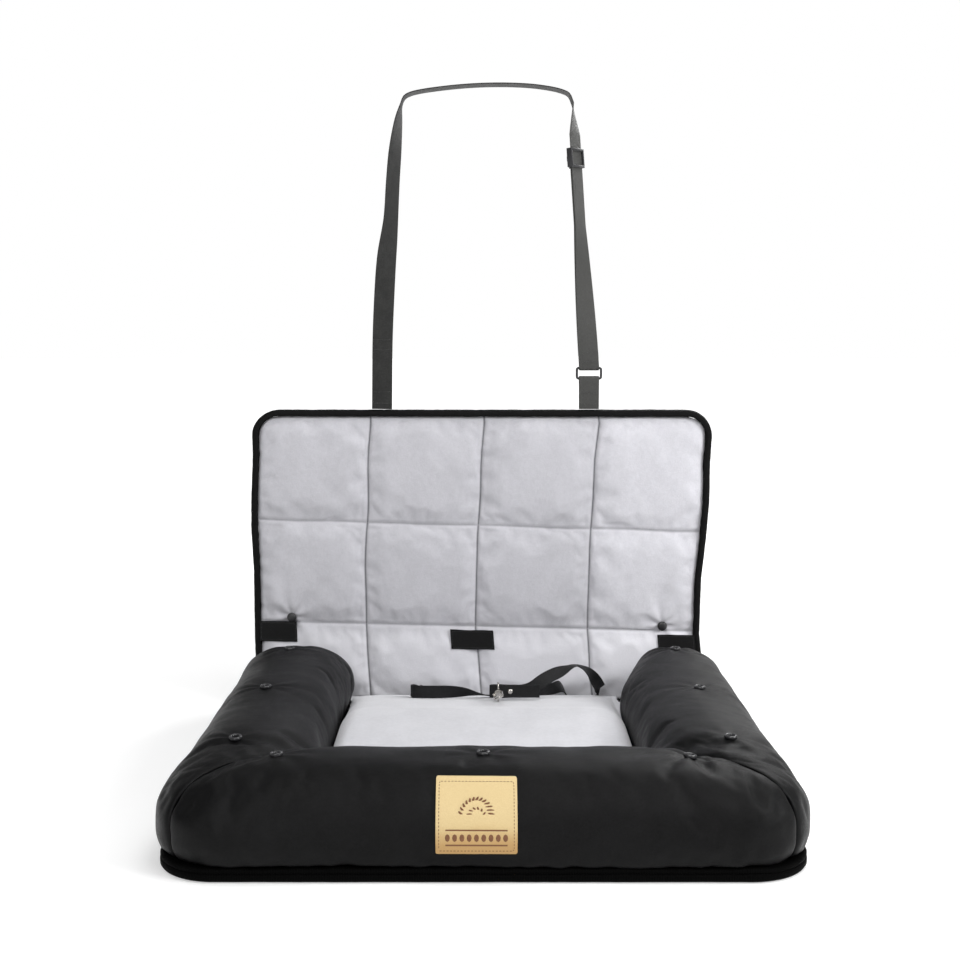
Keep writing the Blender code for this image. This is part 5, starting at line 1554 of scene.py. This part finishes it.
def make_patches():
    """Each lies on the quilt, a little stiff, and is sewn down a short way inside its edge."""
    sewn_in, middle_z = 0.002, 0.09
    finish = Finish("black_loop_tape", (0.010, 0.010, 0.011), 0.95, Specular_IOR_Level=0.2)
    loops = finish.noise(finish.place(), 0.0008, 3.0, 0.7)
    lint = finish.ranged(finish.noise(finish.place(), 0.0024, 4.0), 0.62, 0.78)
    paler = lint * 0.4 + loops * 0.25
    finish.set("Base Color", finish.mixed(paler, (0.004, 0.004, 0.004), (0.045, 0.045, 0.047)))
    finish.raised(loops, 0.0005, 0.9)
    seams = []
    for name, x0, x1, low in PATCHES:
        high, node = low + PATCH_HEIGHT, "fastener_patch_" + name
        nearest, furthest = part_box(node)
        bm, _ = cloth_grid(22, 10)
        for vert in bm.verts:
            x, z = x0 + (x1 - x0) * (vert.co.x + 0.5), low + (high - low) * (vert.co.y + 0.5)
            z += 0.0006 * wave(Vector((x, 0, z)), 0.02, seed=3.0)
            y = min(on_quilt(x, z).y - 0.0004, furthest.y)
            vert.co = Vector((x, max(y, nearest.y + 0.0004), z))
        bmesh.ops.smooth_vert(bm, verts=bm.verts, factor=0.5, use_axis_x=False, use_axis_y=True, use_axis_z=False)
        turn_faces(bm, -1)
        thickened(bm, -0.0011)
        front = tree_of_bmesh(bm)
        bend_at_fold(add_piece("loop_patch_" + name, bm, finish, None, "hook_and_loop", [node]))
        corners = [(x0, low), (x1, low), (x1, high), (x0, high), (x0, low)]
        middle_x = (x0 + x1) / 2
        inset = [
            (x + math.copysign(sewn_in, middle_x - x), z + math.copysign(sewn_in, middle_z - z)) for x, z in corners
        ]
        seams.append(line_on(front, inset, 20, QUILT_RAY_Y))
    bm = stitched(seams, 0.0030, 0.00028, lambda p: FORWARD)
    bend_at_fold(add_piece("patch_stitching", bm, BLACK_THREAD, None, "hook_and_loop"))


def make_snap_caps():
    finish = plastic_finish("black_snap_plastic", (0.010, 0.010, 0.011), 0.38)
    profile = [(0, 0.0026), (0.0020, 0.00255), (0.0036, 0.0023), (0.0048, 0.0018), (0.0056, 0.0011)]
    profile += [(0.0060, 0.0004), (0.0060, -0.0002), (0, -0.0002)]
    for name, x in (("left", -SNAP_X), ("right", SNAP_X)):
        node, lowered = "snap_cap_" + name, 0.002
        low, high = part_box(node)
        middle = sagged(np.array([(x, high.y, (low.z + high.z) / 2 - lowered)]))[0]
        at = Matrix.Translation(middle) @ Matrix.Rotation(math.pi / 2, 4, "X")
        add_piece("snap_" + name, lathed(profile, 32, at), finish, "panel_upper", "black_plastic", [node], 50)


make_patches()
make_snap_caps()


# Label: a stiff leatherette patch, cream above and tan below, sewn to the front bolster's face with brown thread.
# Leatherette bends but doesn't dent, so the cover is drawn to its back. Its only marks are a plain pressed
# ornament: two lines with lozenges between them, under an arch of leaves.

LABEL_HALF = 0.035
LABEL_X = -0.006
LABEL_RAY_Y = -0.5


def label_finish():
    """Pebbled leatherette, cream easing into tan towards its foot."""
    cream, tan, brown = (0.68, 0.53, 0.27), (0.50, 0.28, 0.09), (0.40, 0.24, 0.10)
    finish = Finish("tan_leatherette", cream, 0.5, Specular_IOR_Level=0.4)
    place = finish.place()
    pebble = finish.add("ShaderNodeTexVoronoi", {"feature": "F1"}, {"Vector": place, "Scale": 1400.0})
    cloud = finish.noise(place, 0.02, 4.0)
    height = finish.along(place, 2)
    lower = finish.ranged(height + cloud * 0.012, 0.062, 0.040)
    color = finish.mixed(lower * 0.8, cream, tan)
    finish.set("Base Color", finish.mixed(finish.ranged(pebble, 0.2, 0.7) * 0.22, color, brown))
    finish.set("Roughness", cloud * 0.2 + 0.4)
    finish.raised(1 - pebble, 0.00018, 0.6)
    return finish


def label_bend(low, high):
    """The height of the label's middle, half its height, and face_y(x, z), where the drawn cloth lies under it."""
    middle_z, tall, around = (low.z + high.z) / 2, (high.z - low.z) / 2, 0.003
    cloth = tree_of(bolsters["front"])

    def bend_terms(x, z):
        off_x, off_z = (x - LABEL_X) / LABEL_HALF, (z - middle_z) / tall
        return (1.0, off_x, off_z, off_z * off_z, off_x * off_z)

    widths, heights = np.linspace(-0.043, 0.031, 16), np.linspace(low.z - around, high.z + around, 24)
    places = [(x, z) for x in widths for z in heights]
    hits = [seen_in(cloth, x, z, LABEL_RAY_Y) for x, z in places]
    terms = [bend_terms(*place) for place, hit in zip(places, hits) if hit]
    bend = np.linalg.lstsq(np.array(terms), np.array([hit.y for hit in hits if hit]), rcond=None)[0]
    return middle_z, tall, lambda x, z: float(np.dot(bend, bend_terms(x, z)))


def draw_cloth(middle_z, tall, face_y):
    """Draws the front bolster's cover to the label's back, easing out round its edge."""
    eases_over, face_depth = 0.016, 0.05
    sewn_on = bolsters["front"].data
    for vert in sewn_on.vertices:
        x, y, z = vert.co
        off_x, off_z = max(0.0, abs(x - LABEL_X) - LABEL_HALF), max(0.0, abs(z - middle_z) - tall)
        beyond = math.hypot(off_x, off_z) / eases_over
        if y < FRONT_Y + face_depth and beyond < 1:
            vert.co.y += (face_y(x, z) - y) * (1 - eased(beyond))
    sewn_on.update()


def make_label():
    """A thin rounded sheet, bent like the cloth under it, and its border of stitches."""
    corner, stand_off, sewn_in = 0.0016, 0.0015, 0.0028
    middle_z, tall, face_y = label_bend(*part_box("label_patch"))
    draw_cloth(middle_z, tall, face_y)
    bm = bmesh.new()
    bmesh.ops.create_grid(bm, x_segments=44, y_segments=36, size=1.0)
    for vert in bm.verts:
        x, z = vert.co.x * LABEL_HALF, vert.co.y * tall
        over_x, over_z = max(0.0, abs(x) - LABEL_HALF + corner), max(0.0, abs(z) - tall + corner)
        over = math.hypot(over_x, over_z)
        if over > corner:
            x -= math.copysign(over_x * (1 - corner / over), x)
            z -= math.copysign(over_z * (1 - corner / over), z)
        vert.co = Vector((LABEL_X + x, face_y(LABEL_X + x, middle_z + z) - stand_off, middle_z + z))
    turn_faces(bm, -1)
    thickened(bm, -0.0013)
    face = tree_of_bmesh(bm)
    piece = add_piece("label", bm, label_finish(), "bed", "tan_leatherette", ["label_patch"])
    bevel = piece.modifiers.new("bevel", "BEVEL")
    bevel.width, bevel.segments = 0.0004, 3

    def line(points):
        return line_on(face, [(LABEL_X + x, middle_z + z) for x, z in points], 30, LABEL_RAY_Y)

    w, h = LABEL_HALF - sewn_in, tall - sewn_in
    border = line([(-w, -h), (w, -h), (w, h), (-w, h), (-w, -h)])
    brown = thread_finish("brown_thread", (0.17, 0.075, 0.022))
    bm = stitched([border], 0.0030, 0.00042, lambda p: FORWARD)
    add_piece("label_stitching", bm, brown, "bed", "tan_leatherette")
    make_ornament(face, middle_z, line)


def make_ornament(face, middle_z, line):
    """Two pressed lines with lozenges between them, and two rows of leaves in an arch above."""
    pressed = Finish("pressed_line_brown", (0.16, 0.055, 0.02), 0.6)
    soot = pressed.noise(pressed.place(), 0.0012)
    pressed.set("Base Color", pressed.mixed(soot, (0.10, 0.035, 0.012), (0.24, 0.10, 0.04)))
    half_line, rise, reach = 0.0007, 0.0002, 0.0265
    section = [(half_line, rise), (-half_line, rise), (-half_line, -rise), (half_line, -rise)]
    rules = [line([(-reach, z), (reach, z)]) for z in (-0.0085, -0.0215)]
    bm = bmesh.new()
    for rule in rules:
        band = swept(framed([(p + Vector((0, 0.0001, 0)), UP) for p in rule]), section)
        mesh = bpy.data.meshes.new("rule")
        band.to_mesh(mesh)
        band.free()
        bm.from_mesh(mesh)
        bpy.data.meshes.remove(mesh)
    shapes = [(k * 0.0062, -0.0150, 0.0022, 0.0034, 0.0) for k in range(-4, 5)]
    leaves, foot = [math.pi * (0.08 + 0.84 * k / 12) for k in range(13)], 0.0010
    for radius, wide, tall, lean, angles in (
        (0.0135, 0.0011, 0.0036, -0.5, leaves),
        (0.0070, 0.0009, 0.0026, 0.5, leaves[1::2]),
    ):
        shapes += [(radius * math.cos(a), foot + radius * math.sin(a), wide, tall, a + lean) for a in angles]
    for x, z, wide, tall, turn in shapes:
        at = seen_in(face, LABEL_X + x, middle_z + z, LABEL_RAY_Y)
        lean = Matrix.Rotation(math.pi / 2 - turn if turn else 0.0, 4, "Y")
        placed = Matrix.Translation(at) @ (lean @ Matrix.Diagonal((wide, rise, tall, 1)))
        bmesh.ops.create_uvsphere(bm, u_segments=8, v_segments=4, radius=1.0, matrix=placed)
    add_piece("label_rules", bm, pressed, "bed", "tan_leatherette")


make_label()


# Headrest strap: 25 mm black webbing, sewn to the panel's top left, up and over a headrest, and down to a ring at
# the right. It turns from face on to edge on as it rises. Its doubled stretch runs back up to the slider.

STRAP_Y = 0.2763
STRAP_WIDTH = 0.025
STRAP_THICKNESS = 0.0014
LEG_TOP = Vector((0.1100, STRAP_Y, 0.7480))
LEG_FOOT = Vector((0.1325, STRAP_Y, 0.4300))
STEADY_LOW_Z = 0.603
STEADY_HIGH_Z = 0.712
SLIDER_Z = 0.684
STEADY_TWIST = math.radians(56)
RING_WIRE = 0.0015
FIT = 0.0003
WRAP = RING_WIRE + FIT + STRAP_THICKNESS / 2
BEHIND = STRAP_THICKNESS + FIT
RING_BAR = Vector((LEG_FOOT.x, STRAP_Y + WRAP, LEG_FOOT.z - RING_WIRE))
RETURN_START_Z = LEG_FOOT.z + 0.0125
# The strap's right leg is painted paler, as painted light from the right lamp.
STRAP_WEBBING = webbing_finish("black_strap_webbing", (0.0105, 0.0105, 0.0100), 0.0013, 0.7)


def leg_frame(z):
    """The right leg's direction, its width and the way it faces at a height."""
    along = (LEG_TOP - LEG_FOOT).normalized()
    if z <= STEADY_LOW_Z:
        twist = STEADY_TWIST * max(0.0, (z - LEG_FOOT.z) / (STEADY_LOW_Z - LEG_FOOT.z))
    else:
        turn = max(0.0, (z - STEADY_HIGH_Z) / (LEG_TOP.z - STEADY_HIGH_Z))
        twist = STEADY_TWIST + (math.pi / 2 - STEADY_TWIST) * turn
    across = Vector((math.cos(twist), math.sin(twist), 0))
    across = (across - along * across.dot(along)).normalized()
    return along, across, across.cross(along)


def leg_knot(z, out=0.0):
    """(place, width direction) on the right leg at a height, that far out of its face."""
    share = (z - LEG_FOOT.z) / (LEG_TOP.z - LEG_FOOT.z)
    frame_there = leg_frame(z)
    return LEG_FOOT.lerp(LEG_TOP, share) + frame_there[2] * out, frame_there[1]


def add_strap(name, route, body, node):
    """A stretch of the strap's webbing along a route."""
    bm = swept(framed(route), webbing_section(STRAP_WIDTH, STRAP_THICKNESS))
    return add_piece(name, bm, STRAP_WEBBING, body, "black_webbing", [node])


def make_strap():
    """Up the left leg, over the top, down the right leg and round the ring's bar."""
    foot_z = PANEL_TOP_Z + 0.0005
    left_leg = (
        (-0.1250, foot_z, 0),
        (-0.1236, 0.4630, 0),
        (-0.1214, 0.5120, 8),
        (-0.1180, 0.5620, 22),
        (-0.1125, 0.6090, 48),
        (-0.1095, 0.6570, 53),
        (-0.1065, 0.6930, 57),
        (-0.1020, 0.7300, 74),
        (-0.0985, 0.7480, 90),
    )
    top = ((-0.0950, 0.7560), (-0.0870, 0.7605), (-0.0400, 0.7680), (0.0150, 0.7712), (0.0650, 0.7692))
    top += ((0.0960, 0.7635), (0.1050, 0.7590))
    knots = []
    for x, z, twist in left_leg:
        turn = math.radians(twist)
        knots.append((Vector((x, STRAP_Y, z)), Vector((math.cos(turn), math.sin(turn), 0))))
    knots += [(Vector((x, STRAP_Y, z)), BACKWARD) for x, z in top]
    route = smooth_route([*knots, leg_knot(LEG_TOP.z)], 0.005)[:-1]
    route += [leg_knot(z) for z in np.linspace(LEG_TOP.z, RETURN_START_Z, 60)]
    for k in range(9):
        turn = math.pi * (1 + k / 8)
        route.append((RING_BAR + Vector((0, math.cos(turn), math.sin(turn))) * WRAP, ACROSS_X))
    route.append((RING_BAR + Vector((0, WRAP, 0.002)), ACROSS_X))
    route.append(leg_knot(RETURN_START_Z, -BEHIND))
    add_strap("strap_webbing", route, "headrest_loop", "headrest_strap")


def make_return_run():
    """It runs between the ring and the slider."""
    start, stop = RETURN_START_Z + 3 * FIT, SLIDER_Z - 0.0133
    route = [leg_knot(z, -BEHIND) for z in np.linspace(stop, start, 44)]
    piece = add_strap("strap_doubled_run", route, None, "strap_return_run")
    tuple(leg_knot(start)[0])
    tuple(leg_knot(stop)[0])
    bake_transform(piece)


def make_tab():
    """The short loop that holds the ring to the panel's top edge."""
    bar_z = LEG_FOOT.z - 0.016 + RING_WIRE
    x, y = RING_BAR.x, RING_BAR.y
    knots = [(x, STRAP_Y, PANEL_TOP_Z + 0.0005), (x, STRAP_Y, bar_z - 0.010)]
    turns = [math.pi * k / 4 for k in range(5)]
    knots += [(x, y - WRAP * math.cos(t), bar_z + WRAP * math.sin(t)) for t in turns]
    knots += [(x, STRAP_Y + BEHIND, bar_z - 0.0125), (x, STRAP_Y + BEHIND, bar_z - 0.024)]
    route = smooth_route([(Vector(knot), ACROSS_X) for knot in knots], 0.002)
    add_strap("ring_loop", route, "headrest_loop", "ring_tab")


def make_strap_stitching():
    """Rows of stitches where the webbing is sewn: at the panel's edge, over the left leg's foot and by the ring."""
    face, places = STRAP_THICKNESS / 2 + THREAD_OUT, np.linspace(-0.0115, 0.0115, 12)

    def level_rows(middles):
        return [[Vector((x + a, STRAP_Y - face, z)) for a in places] for x, z in middles]

    rows = level_rows(((-0.1247, 0.385), (-0.1244, 0.399), (0.1325, 0.384), (0.1325, 0.398)))
    for z in (0.4365, 0.4475):
        at, across = leg_knot(z)
        out = leg_frame(z)[2]
        out = out if out.y < 0 else -out
        rows.append([at + across * a + out * face for a in places])
    rows += level_rows(((-0.125, 0.4635), (-0.1245, 0.4515)))
    bm = stitched(rows, 0.0023, 0.00030, lambda p: FORWARD)
    add_piece("strap_stitching", bm, BLACK_THREAD, "headrest_loop", "black_webbing")


make_strap()
make_return_run()
make_tab()
make_strap_stitching()


# Ring and slider: moulded black acetal. The ring is a rounded rectangle of round wire. The slider is a three-bar
# glide with the webbing behind its end bars and its sewn end round the middle one.

ACETAL = plastic_finish("black_acetal", (0.009, 0.009, 0.010), 0.36)


def make_ring():
    half_x, half_z, corner = 0.0165 - RING_WIRE, 0.008 - RING_WIRE, 0.0022
    centre = Vector((RING_BAR.x, RING_BAR.y, LEG_FOOT.z - 0.008))
    path = []
    for sx, sz, start in ((1, 1, 0), (-1, 1, 90), (-1, -1, 180), (1, -1, 270)):
        for k in range(7):
            angle = math.radians(start + 90 * k / 6)
            x, z = sx * (half_x - corner) + corner * math.cos(angle), sz * (half_z - corner)
            path.append(centre + Vector((x, 0, z + corner * math.sin(angle))))
    frames = []
    for k, at in enumerate(path):
        along = (path[(k + 1) % len(path)] - path[k - 1]).normalized()
        frames.append((at, BACKWARD, BACKWARD.cross(along)))
    section = [(RING_WIRE * math.cos(a), RING_WIRE * math.sin(a)) for a in np.linspace(0, 2 * math.pi, 17)[:-1]]
    bm = swept(frames, section, looped=True)
    add_piece("webbing_ring", bm, ACETAL, "headrest_loop", "black_plastic", ["strap_ring"])


def slider_matrix():
    """The slider's own frame: X across the webbing, Y up along it, Z out of its face."""
    along, across, face = leg_frame(SLIDER_Z)
    matrix = Matrix((across, along, face)).transposed().to_4x4()
    return Matrix.Translation(leg_knot(SLIDER_Z)[0]) @ matrix


def make_slider():
    bar_face, wall, half = STRAP_THICKNESS / 2 + FIT, 0.0020, 0.0115
    loop_face = bar_face + STRAP_THICKNESS + FIT
    inner, outer = STRAP_WIDTH / 2 + FIT, STRAP_WIDTH / 2 + FIT + wall
    back, front = -loop_face - wall, bar_face + wall
    reach, bar = outer - 0.0005, 0.003
    bars = [
        ((inner, -half, back), (outer, half, front)),
        ((-outer, -half, back), (-inner, half, front)),
        ((-reach, -half, bar_face), (reach, bar - half, front)),
        ((-reach, half - bar, bar_face), (reach, half, front)),
        ((-reach, -bar / 2, back), (reach, bar / 2, -loop_face)),
    ]
    bm = bmesh.new()
    for low, high in bars:
        low, high = Vector(low), Vector(high)
        at = Matrix.Translation((low + high) / 2) @ Matrix.Diagonal((*(high - low), 1))
        made = bmesh.ops.create_cube(bm, size=1, matrix=at)["verts"]
        softened(bm, list({edge for vert in made for edge in vert.link_edges}), 0.0006)
    bmesh.ops.transform(bm, matrix=slider_matrix(), verts=bm.verts)
    add_piece("glide_slider", bm, ACETAL, "slider", "black_plastic", ["strap_slider"], 60)


def make_sewn_end():
    """The webbing's end, folded round the slider's middle bar and sewn to itself."""
    bar_face = STRAP_THICKNESS / 2 + FIT
    turn_radius = (0.0020 + 2 * FIT + STRAP_THICKNESS) / 2
    near = -bar_face - STRAP_THICKNESS / 2
    middle = near - turn_radius
    knots = [(-0.013, near), (-0.0065, near), (0, near)]
    for k in range(5):
        t = math.pi * k / 4
        knots.append((0.0013 + turn_radius * math.sin(t), middle + turn_radius * math.cos(t)))
    far = middle - turn_radius
    knots += [(-0.001, far), (-0.0035, far), (-0.0085, near - BEHIND), (-0.013, near - BEHIND)]
    at = slider_matrix()
    route = smooth_route([(at @ Vector((0, y, z)), at.to_3x3() @ ACROSS_X) for y, z in knots], 0.001)
    add_strap("strap_end_loop", route, "slider", "strap_sewn_end")


make_ring()
make_slider()
make_sewn_end()
